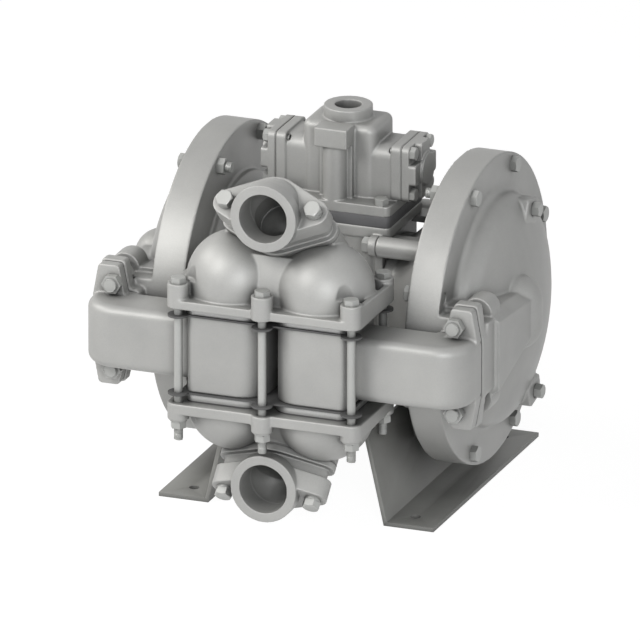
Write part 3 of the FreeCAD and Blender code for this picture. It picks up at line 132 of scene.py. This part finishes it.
def finishMaterial(name, sizes):
    # cloudy colour, darker specks, painted shade in crevices, fine grain in the bump, uneven roughness
    material = bpy.data.materials.new(name)
    tree = emptyTree(material)
    shader = tree.nodes.new("ShaderNodeBsdfPrincipled")
    output = tree.nodes.new("ShaderNodeOutputMaterial")
    tree.links.new(shader.outputs["BSDF"], output.inputs["Surface"])
    place = tree.nodes.new("ShaderNodeTexCoord").outputs["Object"]
    clouds = noise(tree, place, pattern["cloudScale"], pattern["cloudDetail"])
    specks = noise(tree, place, sizes["grain"], pattern["speckDetail"])
    # painted shade: ambient occlusion darkens the base colour in crevices and between parts
    crevice = tree.nodes.new("ShaderNodeAmbientOcclusion")
    crevice.samples = pattern["creviceSamples"]
    crevice.inputs["Distance"].default_value = pattern["creviceReach"]
    colour = fade(tree, clouds, pattern["cloudEdges"], sizes["dark"], sizes["light"])
    stain = fade(tree, specks, pattern["speckEdges"], grey(pattern["speckShade"]), grey(1.0))
    darkest = grey(pattern["creviceShade"])
    paintedCreviceShade = fade(tree, crevice.outputs["AO"], pattern["creviceEdges"], darkest, grey(1.0))
    stained = multiplied(tree, colour, stain, sizes["stain"])
    tree.links.new(multiplied(tree, stained, paintedCreviceShade, 1.0), shader.inputs["Base Color"])
    shader.inputs["Metallic"].default_value = sizes["metallic"]
    smooth, coarse = sizes["rough"]
    uneven = fade(tree, specks, pattern["roughEdges"], grey(smooth), grey(coarse))
    tree.links.new(uneven, shader.inputs["Roughness"])
    bumps = tree.nodes.new("ShaderNodeBump")
    bumps.inputs["Strength"].default_value = sizes["bump"]
    bumps.inputs["Distance"].default_value = sizes["depth"]
    tree.links.new(specks, bumps.inputs["Height"])
    tree.links.new(bumps.outputs["Normal"], shader.inputs["Normal"])
    return material


finishes = {
    "casting": dict(
        dark=(0.44, 0.44, 0.43), light=(0.51, 0.51, 0.495), metallic=0.25, rough=(0.42, 0.54),
        grain=900.0, stain=0.22, bump=0.30, depth=0.0003,
    ),
    "zinc_plate": dict(
        dark=(0.46, 0.465, 0.45), light=(0.55, 0.555, 0.54), metallic=0.3, rough=(0.36, 0.48),
        grain=1500.0, stain=0.2, bump=0.15, depth=0.0002,
    ),
    "steel": dict(
        dark=(0.62, 0.62, 0.61), light=(0.70, 0.70, 0.69), metallic=0.4, rough=(0.36, 0.48),
        grain=2000.0, stain=0.2, bump=0.1, depth=0.0001,
    ),
    # the foot sheet's grey is set darker than its own paint, partly painted shade from the pump above the
    # feet
    "painted_sheet": dict(
        dark=(0.31, 0.31, 0.295), light=(0.36, 0.36, 0.345), metallic=0.1, rough=(0.48, 0.60),
        grain=1100.0, stain=0.2, bump=0.2, depth=0.0002,
    ),
    "gasket": dict(
        dark=(0.10, 0.10, 0.10), light=(0.15, 0.15, 0.15), metallic=0.0, rough=(0.6, 0.8),
        grain=1800.0, stain=0.3, bump=0.3, depth=0.0003,
    ),
    "paper": dict(
        dark=(0.34, 0.34, 0.33), light=(0.40, 0.40, 0.39), metallic=0.0, rough=(0.6, 0.8),
        grain=1800.0, stain=0.3, bump=0.3, depth=0.0003,
    ),
    "diaphragm_rubber": dict(
        dark=(0.02, 0.02, 0.02), light=(0.04, 0.04, 0.04), metallic=0.0, rough=(0.5, 0.7),
        grain=1600.0, stain=0.3, bump=0.3, depth=0.0003,
    ),
    "seal_plastic": dict(
        dark=(0.66, 0.64, 0.58), light=(0.74, 0.72, 0.66), metallic=0.0, rough=(0.4, 0.5),
        grain=1600.0, stain=0.1, bump=0.1, depth=0.0002,
    ),
    "spacer": dict(
        dark=(0.12, 0.12, 0.125), light=(0.17, 0.17, 0.175), metallic=0.0, rough=(0.5, 0.65),
        grain=1500.0, stain=0.2, bump=0.2, depth=0.0002,
    ),
}
finishNames = {
    "casting": "castAluminium", "zinc_plate": "zincPlate", "steel": "groundSteel",
    "painted_sheet": "footPaintAndShade", "gasket": "gasketSheet", "paper": "gasketPaper",
    "diaphragm_rubber": "rubber", "seal_plastic": "sealPlastic", "spacer": "spacerPlastic",
}
materials = {slot: finishMaterial(finishNames[slot], finishes[slot]) for slot in finishes}
paperGaskets = ("elbow_gaskets", "end_cap_gaskets", "port_gaskets")
slotOf = {part["node"]: part["material_slot"] for part in frame["record"]["subparts"]}


def setMaterial(mesh, material):
    mesh.materials.clear()
    mesh.materials.append(material)


for node, slotName in slotOf.items():
    carried = bpy.data.objects[node].data
    if not carried.materials:
        carried.materials.append(None)
    finish = materials["paper" if node in paperGaskets else slotName]
    for index in range(len(carried.materials)):
        carried.materials[index] = finish
print("stage materials", len(materials))

root = "pump"
mergeDistance = 1e-6


def standIn(name, mesh, node):
    # a finished piece in place of a CAD node of the fixed body
    setMaterial(mesh, materials[slotOf[node]])
    piece = bpy.data.objects.new(name, mesh)
    bpy.context.collection.objects.link(piece)
    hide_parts(node)
    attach(piece, root)


def asObject(mesh):
    # an object that carries the mesh while modifiers work on it
    holder = bpy.data.objects.new("holder", mesh)
    bpy.context.collection.objects.link(holder)
    return holder


def mergedCopy(node):
    mesh = bpy.data.objects[node].data.copy()
    shape = bmesh.new()
    shape.from_mesh(mesh)
    bmesh.ops.remove_doubles(shape, verts=shape.verts, dist=mergeDistance)
    shape.to_mesh(mesh)
    shape.free()
    return mesh


def finished(holder):
    # the evaluated mesh of an object with live modifiers, which is then removed
    graph = bpy.context.evaluated_depsgraph_get()
    mesh = bpy.data.meshes.new_from_object(holder.evaluated_get(graph))
    spare = holder.data
    bpy.data.objects.remove(holder)
    bpy.data.meshes.remove(spare)
    return mesh


# voxel sets how far the casting's edges are rounded, about one and a half times over
castings = dict(
    left_inner_chamber=0.0013, right_inner_chamber=0.0013,
    left_outer_chamber=0.0012, right_outer_chamber=0.0012,
    intermediate_housing=0.0012, air_valve_body=0.0008,
    left_end_cap=0.0006, right_end_cap=0.0006,
    left_flow_elbow=0.0010, right_flow_elbow=0.0010,
    discharge_manifold=0.0010, suction_manifold=0.0010,
    discharge_port_elbow=0.0007, suction_port_elbow=0.0007,
)
castingFinish = dict(passes=3, strength=0.5, mostTriangles=105000)
# the two halves of a chamber meet flush on the rim, so their edges stay square there
rimEdge = dict(width=0.0022, corner=0.0009, join=0.00015, sharp=math.radians(60))


def squareRim(mesh, node):
    # moves the rounded edge back onto the rim's cylinder or the face where the halves meet
    low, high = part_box("left_inner_chamber")
    radius = (high[1] - low[1]) / 2
    split = -low[0]
    middle = (low[2] + high[2]) / 2
    inner = "inner" in node
    for vertex in mesh.vertices:
        x, y, z = vertex.co
        reach = math.hypot(y, z - middle)
        inward = radius - reach
        along = split - abs(x) if inner else abs(x) - split
        if max(inward, along) > rimEdge["width"]:
            continue
        onCorner = max(inward, along) < rimEdge["corner"]
        if onCorner or inward > along:
            vertex.co.x = math.copysign(split, x)
        if onCorner or inward <= along:
            vertex.co.y = y * radius / reach
            vertex.co.z = middle + (z - middle) * radius / reach
    shape = bmesh.new()
    shape.from_mesh(mesh)
    bmesh.ops.remove_doubles(shape, verts=shape.verts, dist=rimEdge["join"])
    bmesh.ops.dissolve_degenerate(shape, dist=rimEdge["join"], edges=shape.edges)
    shape.to_mesh(mesh)
    shape.free()


def addSkin(holder, voxel):
    skin = holder.modifiers.new("skin", "REMESH")
    skin.mode = "VOXEL"
    skin.voxel_size = voxel


def roundedCasting(node, voxel):
    holder = asObject(mergedCopy(node))
    addSkin(holder, voxel)
    worn = holder.modifiers.new("worn", "SMOOTH")
    worn.factor = castingFinish["strength"]
    worn.iterations = castingFinish["passes"]
    mesh = finished(holder)
    triangles = 2 * len(mesh.polygons)
    if triangles > castingFinish["mostTriangles"]:
        holder = asObject(mesh)
        thin = holder.modifiers.new("thin", "DECIMATE")
        thin.ratio = castingFinish["mostTriangles"] / triangles
        mesh = finished(holder)
    mesh.shade_smooth()
    if "chamber" in node:
        squareRim(mesh, node)
        mesh.set_sharp_from_angle(angle=rimEdge["sharp"])
    standIn("cast_" + node, mesh, node)
    print("casting", node, triangles, len(mesh.polygons))


for node, voxel in castings.items():
    roundedCasting(node, voxel)
print("stage castings", len(castings))

# hexagon-headed hardware: the direction that each node's heads and nuts stand along
lean = math.radians(13.0)
tilt = math.radians(45.0)
hardware = dict(
    chamber_bolts=dict(along=(1, 0, 0), thread=0.008, pitch=0.0015),
    chamber_nuts=dict(along=(1, 0, 0)),
    frame_screws=dict(along=(1, 0, 0)),
    pipe_plugs=dict(along=(1, 0, 0)),
    air_valve_screws=dict(along=(0, 0, 1)),
    end_cap_screws=dict(along=(1, 0, 0)),
    elbow_bolts=dict(along=(0, 1, 0), thread=0.004, pitch=0.00175),
    elbow_nuts=dict(along=(0, 1, 0)),
    tie_bolts=dict(along=(0, 0, 1), thread=0.016, pitch=0.00125),
    tie_nuts=dict(along=(0, 0, 1)),
    port_bolts=dict(along=(0, -math.sin(tilt), math.cos(tilt)), flipsBelow=True),
    foot_bolts=dict(along=(math.cos(lean), 0, math.sin(lean)), flipsLeft=True),
)
hexagon = dict(
    segments=48, shankSegments=32, chamfer=0.94, slope=math.tan(math.radians(30)),
    sharp=math.radians(28), threadSteps=24, toothSteps=4, toothShare=0.32, usualPitch=0.0015,
)
# tolerances for reading a fastener off its CAD solid; corner is a share of the farthest point's reach
reading = dict(level=1e-5, step=1e-4, corner=0.97, digits=4, emptyFace=1e-12)


def islands(mesh):
    # groups of vertices that are joined by edges
    parent = list(range(len(mesh.vertices)))

    def top(i):
        while parent[i] != i:
            parent[i] = parent[parent[i]]
            i = parent[i]
        return i

    for edge in mesh.edges:
        parent[top(edge.vertices[0])] = top(edge.vertices[1])
    groups = {}
    for i, vertex in enumerate(mesh.vertices):
        groups.setdefault(top(i), []).append(vertex.co.copy())
    return list(groups.values())


# the rod's height: port bolts below it stand the other way up
axisHeight = sum(corner[2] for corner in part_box("diaphragm_rod")) / 2


def measured(points, sizes):
    # one fastener read from its CAD solid: where it bears, which way it stands, and its sizes
    along = Vector(sizes["along"]).normalized()
    middle = sum(points, Vector()) / len(points)
    if sizes.get("flipsBelow") and middle.z < axisHeight:
        along.z = -along.z
    if sizes.get("flipsLeft") and middle.x < 0:
        along.x = -along.x
    side = along.orthogonal().normalized()
    other = along.cross(side)
    spans = [[p.dot(d) for p in points] for d in (side, other, along)]
    centre = [(max(span) + min(span)) / 2 for span in spans]
    axis = side * centre[0] + other * centre[1]

    def fromAxis(point):
        return point - axis - along * point.dot(along)

    far = max(fromAxis(p).length for p in points)
    wide = [p for p in points if fromAxis(p).length > far * reading["corner"]]
    levels = [p.dot(along) for p in wide]
    if abs(max(spans[2]) - max(levels)) > reading["level"]:
        along = -along
        levels = [-level for level in levels]
        spans[2] = [-span for span in spans[2]]
    bearing = min(levels)
    tip = min(spans[2])
    corner = fromAxis(wide[0])
    narrow = []
    if tip < bearing - reading["step"]:
        narrow = [p for p in points if abs(p.dot(along) - tip) < reading["level"]]
    shank = max([fromAxis(p).length for p in narrow], default=0.0)
    turn = Matrix((corner.normalized(), along.cross(corner).normalized(), along)).transposed()
    return dict(
        place=axis + along * bearing, turn=turn.to_quaternion(),
        flats=far * math.sqrt(3),  # far is the reach of a hexagon's corner
        height=max(levels) - bearing, shank=shank, length=bearing - tip,
    )


def calc(tree, operation, *values):
    node = tree.nodes.new("ShaderNodeMath")
    node.operation = operation
    for socket, value in zip(node.inputs, values):
        if isinstance(value, (int, float)):
            socket.default_value = value
        else:
            tree.links.new(value, socket)
    return node.outputs[0]


def choose(tree, test, yes, no):
    node = tree.nodes.new("GeometryNodeSwitch")
    node.input_type = "FLOAT"
    tree.links.new(test, node.inputs["Switch"])
    for name, value in (("True", yes), ("False", no)):
        if isinstance(value, (int, float)):
            node.inputs[name].default_value = value
        else:
            tree.links.new(value, node.inputs[name])
    return node.outputs[0]


def hardwareTree():
    # a chamfered hexagon head, its shank and a thread at the shank's end, set on each point
    tree = bpy.data.node_groups.new("hexHardware", "GeometryNodeTree")
    tree.interface.new_socket("Geometry", in_out="INPUT", socket_type="NodeSocketGeometry")
    for name in ("Flats", "Head Height", "Shank Radius", "Shank Length", "Thread Length", "Pitch"):
        tree.interface.new_socket(name, in_out="INPUT", socket_type="NodeSocketFloat")
    tree.interface.new_socket("Material", in_out="INPUT", socket_type="NodeSocketMaterial")
    tree.interface.new_socket("Geometry", in_out="OUTPUT", socket_type="NodeSocketGeometry")
    given = tree.nodes.new("NodeGroupInput")
    link = tree.links.new

    head = tree.nodes.new("GeometryNodeMeshCylinder")
    head.inputs["Vertices"].default_value = hexagon["segments"]
    head.inputs["Side Segments"].default_value = 1
    head.inputs["Fill Segments"].default_value = 2
    head.inputs["Radius"].default_value = 1.0
    head.inputs["Depth"].default_value = 1.0
    split = tree.nodes.new("ShaderNodeSeparateXYZ")
    link(tree.nodes.new("GeometryNodeInputPosition").outputs[0], split.inputs[0])
    x, y, z = split.outputs
    squares = [calc(tree, "MULTIPLY", value, value) for value in (x, y)]
    reach = calc(tree, "SQRT", calc(tree, "ADD", *squares))
    apothem = calc(tree, "MULTIPLY", given.outputs["Flats"], 0.5)
    fold = calc(tree, "PINGPONG", calc(tree, "ARCTAN2", y, x), math.pi / 6)
    offFlat = calc(tree, "SUBTRACT", math.pi / 6, fold)
    edge = calc(tree, "DIVIDE", apothem, calc(tree, "COSINE", offFlat))
    outer = calc(tree, "GREATER_THAN", reach, 0.75)  # between the two rings of the fill
    flat = calc(tree, "MULTIPLY", apothem, hexagon["chamfer"])
    inside = calc(tree, "MULTIPLY", calc(tree, "MULTIPLY", reach, 2.0), flat)
    radius = choose(tree, outer, edge, inside)
    drop = calc(tree, "MULTIPLY", calc(tree, "SUBTRACT", edge, flat), hexagon["slope"])
    crown = calc(tree, "SUBTRACT", given.outputs["Head Height"], choose(tree, outer, drop, 0.0))
    height = choose(tree, calc(tree, "GREATER_THAN", z, 0.0), crown, 0.0)
    place = tree.nodes.new("ShaderNodeCombineXYZ")
    link(calc(tree, "MULTIPLY", calc(tree, "DIVIDE", x, reach), radius), place.inputs[0])
    link(calc(tree, "MULTIPLY", calc(tree, "DIVIDE", y, reach), radius), place.inputs[1])
    link(height, place.inputs[2])
    shaped = tree.nodes.new("GeometryNodeSetPosition")
    link(head.outputs["Mesh"], shaped.inputs["Geometry"])
    link(place.outputs[0], shaped.inputs["Position"])

    shank = tree.nodes.new("GeometryNodeMeshCylinder")
    shank.inputs["Vertices"].default_value = hexagon["shankSegments"]
    link(given.outputs["Shank Radius"], shank.inputs["Radius"])
    link(given.outputs["Shank Length"], shank.inputs["Depth"])
    down = tree.nodes.new("GeometryNodeTransform")
    link(shank.outputs["Mesh"], down.inputs["Geometry"])
    below = tree.nodes.new("ShaderNodeCombineXYZ")
    link(calc(tree, "MULTIPLY", given.outputs["Shank Length"], -0.5), below.inputs[2])
    link(below.outputs[0], down.inputs["Translation"])

    spiral = tree.nodes.new("GeometryNodeCurveSpiral")
    spiral.inputs["Resolution"].default_value = hexagon["threadSteps"]
    rounds = calc(tree, "DIVIDE", given.outputs["Thread Length"], given.outputs["Pitch"])
    link(rounds, spiral.inputs["Rotations"])
    link(given.outputs["Shank Radius"], spiral.inputs["Start Radius"])
    link(given.outputs["Shank Radius"], spiral.inputs["End Radius"])
    link(given.outputs["Thread Length"], spiral.inputs["Height"])
    tooth = tree.nodes.new("GeometryNodeCurvePrimitiveCircle")
    tooth.inputs["Resolution"].default_value = hexagon["toothSteps"]
    link(calc(tree, "MULTIPLY", given.outputs["Pitch"], hexagon["toothShare"]), tooth.inputs["Radius"])
    swept = tree.nodes.new("GeometryNodeCurveToMesh")
    link(spiral.outputs["Curve"], swept.inputs["Curve"])
    link(tooth.outputs["Curve"], swept.inputs["Profile Curve"])
    swept.inputs["Fill Caps"].default_value = True
    toEnd = tree.nodes.new("GeometryNodeTransform")
    link(swept.outputs["Mesh"], toEnd.inputs["Geometry"])
    end = tree.nodes.new("ShaderNodeCombineXYZ")
    link(calc(tree, "SUBTRACT", 0.0, given.outputs["Shank Length"]), end.inputs[2])
    link(end.outputs[0], toEnd.inputs["Translation"])

    whole = tree.nodes.new("GeometryNodeJoinGeometry")
    for part in (shaped, down, toEnd):
        link(part.outputs[0], whole.inputs[0])
    spread = tree.nodes.new("GeometryNodeInstanceOnPoints")
    link(given.outputs["Geometry"], spread.inputs["Points"])
    link(whole.outputs[0], spread.inputs["Instance"])
    turn = tree.nodes.new("GeometryNodeInputNamedAttribute")
    turn.data_type = "QUATERNION"
    turn.inputs["Name"].default_value = "turn"
    link(turn.outputs["Attribute"], spread.inputs["Rotation"])
    real = tree.nodes.new("GeometryNodeRealizeInstances")
    link(spread.outputs[0], real.inputs[0])
    paint = tree.nodes.new("GeometryNodeSetMaterial")
    link(real.outputs[0], paint.inputs["Geometry"])
    link(given.outputs["Material"], paint.inputs["Material"])
    out = tree.nodes.new("NodeGroupOutput")
    link(paint.outputs[0], out.inputs[0])
    return tree


def setInputs(modifier, values):
    for item in modifier.node_group.interface.items_tree:
        if item.in_out == "INPUT" and item.name in values:
            modifier[item.identifier] = values[item.name]


def sameSized(node, sizes):
    # the node's fasteners, grouped by sizes that agree to a tenth of a millimetre
    groups = {}
    for points in islands(mergedCopy(node)):
        item = measured(points, sizes)
        key = tuple(round(item[name], reading["digits"]) for name in ("flats", "height", "shank", "length"))
        groups.setdefault(key, []).append(item)
    return list(groups.values())


def fastenerMesh(tree, found, sizes, material):
    mesh = bpy.data.meshes.new("points")
    mesh.from_pydata([f["place"] for f in found], [], [])
    turns = mesh.attributes.new("turn", "QUATERNION", "POINT")
    for item, f in zip(turns.data, found):
        item.value = tuple(f["turn"])
    holder = asObject(mesh)
    modifier = holder.modifiers.new("hardware", "NODES")
    modifier.node_group = tree
    first = found[0]
    setInputs(modifier, {
        "Flats": first["flats"], "Head Height": first["height"], "Shank Radius": first["shank"],
        "Shank Length": first["length"], "Thread Length": sizes.get("thread", 0.0),
        "Pitch": sizes.get("pitch", hexagon["usualPitch"]), "Material": material,
    })
    return finished(holder)


def placeHardware(tree, node, sizes):
    shape = bmesh.new()
    groups = sameSized(node, sizes)
    for found in groups:
        done = fastenerMesh(tree, found, sizes, materials[slotOf[node]])
        shape.from_mesh(done)
        bpy.data.meshes.remove(done)
    empty = [face for face in shape.faces if face.calc_area() < reading["emptyFace"]]
    bmesh.ops.delete(shape, geom=empty, context="FACES")
    bmesh.ops.recalc_face_normals(shape, faces=shape.faces)
    joined = bpy.data.meshes.new("hex_" + node)
    shape.to_mesh(joined)
    shape.free()
    joined.set_sharp_from_angle(angle=hexagon["sharp"])
    standIn("hex_" + node, joined, node)
    print("hardware", node, [len(found) for found in groups], len(joined.polygons))


tree = hardwareTree()
for node, sizes in hardware.items():
    placeHardware(tree, node, sizes)
bpy.data.node_groups.remove(tree)
print("stage hardware", len(hardware))

# plain plates: the CAD solid with its edges broken
plates = dict(
    left_foot=0.0007, right_foot=0.0007, valve_spacer=0.0006, left_discharge_seat=0.0003,
    right_discharge_seat=0.0003, left_suction_seat=0.0003, right_suction_seat=0.0003,
)
plateEdge = dict(
    flat=math.radians(0.5), bevelled=math.radians(40), sharp=math.radians(35), segments=2,
)


def brokenEdges(node, width):
    mesh = mergedCopy(node)
    shape = bmesh.new()
    shape.from_mesh(mesh)
    bmesh.ops.dissolve_limit(shape, angle_limit=plateEdge["flat"], verts=shape.verts, edges=shape.edges)
    shape.to_mesh(mesh)
    shape.free()
    holder = asObject(mesh)
    edge = holder.modifiers.new("edge", "BEVEL")
    edge.width = width
    edge.segments = plateEdge["segments"]
    edge.limit_method = "ANGLE"
    edge.angle_limit = plateEdge["bevelled"]
    done = finished(holder)
    done.set_sharp_from_angle(angle=plateEdge["sharp"])
    standIn("plate_" + node, done, node)


for node, width in plates.items():
    brokenEdges(node, width)
print("stage plates", len(plates))


# the rod's plates hold a diaphragm inside the first radius and the rim holds it outside the second
rubberSize = dict(voxel=0.0015, sectors=12, held=0.0725, still=0.102)


def wedgeMesh(shape, index, middle):
    # one wedge of the disc, by the angle of its faces round the rod's axis
    part = shape.copy()
    wedge = 2 * math.pi / rubberSize["sectors"]
    away = []
    for face in part.faces:
        place = face.calc_center_median() - middle
        if round(math.atan2(place.z, place.y) / wedge) % rubberSize["sectors"] != index:
            away.append(face)
    bmesh.ops.delete(part, geom=away, context="FACES")
    mesh = bpy.data.meshes.new("wedge")
    part.to_mesh(mesh)
    part.free()
    mesh.shade_smooth()
    return mesh


def bendingDiaphragm(node):
    # the middle moves with the rod and the rim stays, so the diaphragm is cut into wedges round the rod's
    # axis
    low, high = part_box(node)
    middle = (Vector(low) + Vector(high)) / 2
    holder = asObject(mergedCopy(node))
    addSkin(holder, rubberSize["voxel"])
    whole = finished(holder)
    shape = bmesh.new()
    shape.from_mesh(whole)
    bpy.data.meshes.remove(whole)
    for index in range(rubberSize["sectors"]):
        mesh = wedgeMesh(shape, index, middle)
        setMaterial(mesh, materials[slotOf[node]])
        piece = bpy.data.objects.new(node + "_wedge_" + str(index), mesh)
        bpy.context.collection.objects.link(piece)
        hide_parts(node)
        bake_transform(piece)
    shape.free()


for node in ("left_diaphragm", "right_diaphragm"):
    bendingDiaphragm(node)
print("stage diaphragms")


def seenRay(tree):
    # one for rays that see the background: straight, in a reflection or through glass
    path = tree.nodes.new("ShaderNodeLightPath")
    mirrored = calc(tree, "ADD", path.outputs["Is Camera Ray"], path.outputs["Is Glossy Ray"])
    return calc(tree, "ADD", mirrored, path.outputs["Is Transmission Ray"])


# strengths of what the camera and the mirrors see, and of what lights the pump
backdrop = dict(
    radius=6.0, drop=0.0004, segments=96, paint=0.8, glow=1.2, glowShare=0.8, seen=1.0, light=0.03,
)


def glowing(tree, kind, strength):
    node = tree.nodes.new(kind)
    node.inputs["Color"].default_value = (1.0, 1.0, 1.0, 1.0)
    node.inputs["Strength"].default_value = strength
    return node.outputs[0]


def mixInto(output, tree, share, first, second):
    mix = tree.nodes.new("ShaderNodeMixShader")
    for value, socket in zip((share, first, second), mix.inputs):
        tree.links.new(value, socket)
    tree.links.new(mix.outputs[0], output.inputs["Surface"])


def makeFloor():
    count, radius, level = backdrop["segments"], backdrop["radius"], -backdrop["drop"]
    angles = [2 * math.pi * i / count for i in range(count)]
    mesh = bpy.data.meshes.new("floor")
    points = [(radius * math.cos(a), radius * math.sin(a), level) for a in angles]
    mesh.from_pydata(points, [], [list(range(count))])
    floor = bpy.data.objects.new("floor", mesh)
    bpy.context.collection.objects.link(floor)
    material = bpy.data.materials.new("floorWhite")
    tree = emptyTree(material)
    output = tree.nodes.new("ShaderNodeOutputMaterial")
    diffuse = tree.nodes.new("ShaderNodeBsdfDiffuse")
    diffuse.inputs["Color"].default_value = (*grey(backdrop["paint"]), 1.0)
    share = calc(tree, "MULTIPLY", seenRay(tree), backdrop["glowShare"])
    glow = glowing(tree, "ShaderNodeEmission", backdrop["glow"])
    mixInto(output, tree, share, diffuse.outputs[0], glow)
    mesh.materials.append(material)


def makeWorld():
    world = bpy.data.worlds.new("studio")
    bpy.context.scene.world = world
    tree = emptyTree(world)
    output = tree.nodes.new("ShaderNodeOutputWorld")
    light = glowing(tree, "ShaderNodeBackground", backdrop["light"])
    seen = glowing(tree, "ShaderNodeBackground", backdrop["seen"])
    mixInto(output, tree, seenRay(tree), light, seen)


lamps = dict(
    leftLamp=dict(turn=-80, height=35, power=16.0, colour=(1.0, 0.985, 0.955)),
    keyLamp=dict(turn=-33, height=38, power=24.0, colour=(1.0, 0.99, 0.97)),
    frontLamp=dict(turn=26, height=20, power=22.0, colour=(0.98, 0.99, 1.0)),
    sideLamp=dict(turn=80, height=18, power=3.0, colour=(0.97, 0.99, 1.0)),
)
lampPlace = dict(distance=2.5, side=0.8, aim=(0.0, 0.0, 0.18))


def makeLamp(name, sizes):
    data = bpy.data.lights.new(name, "AREA")
    data.size = lampPlace["side"]
    data.energy = sizes["power"]
    data.color = sizes["colour"]
    away = pointedAway(sizes["turn"], sizes["height"])
    lamp = bpy.data.objects.new(name, data)
    lamp.location = Vector(lampPlace["aim"]) + away * lampPlace["distance"]
    lamp.rotation_euler = away.to_track_quat("Z", "Y").to_euler()
    bpy.context.collection.objects.link(lamp)


makeCamera()
makeFloor()
makeWorld()
for name, sizes in lamps.items():
    makeLamp(name, sizes)
bpy.context.scene.view_settings.view_transform = "Standard"
print("stage studio")
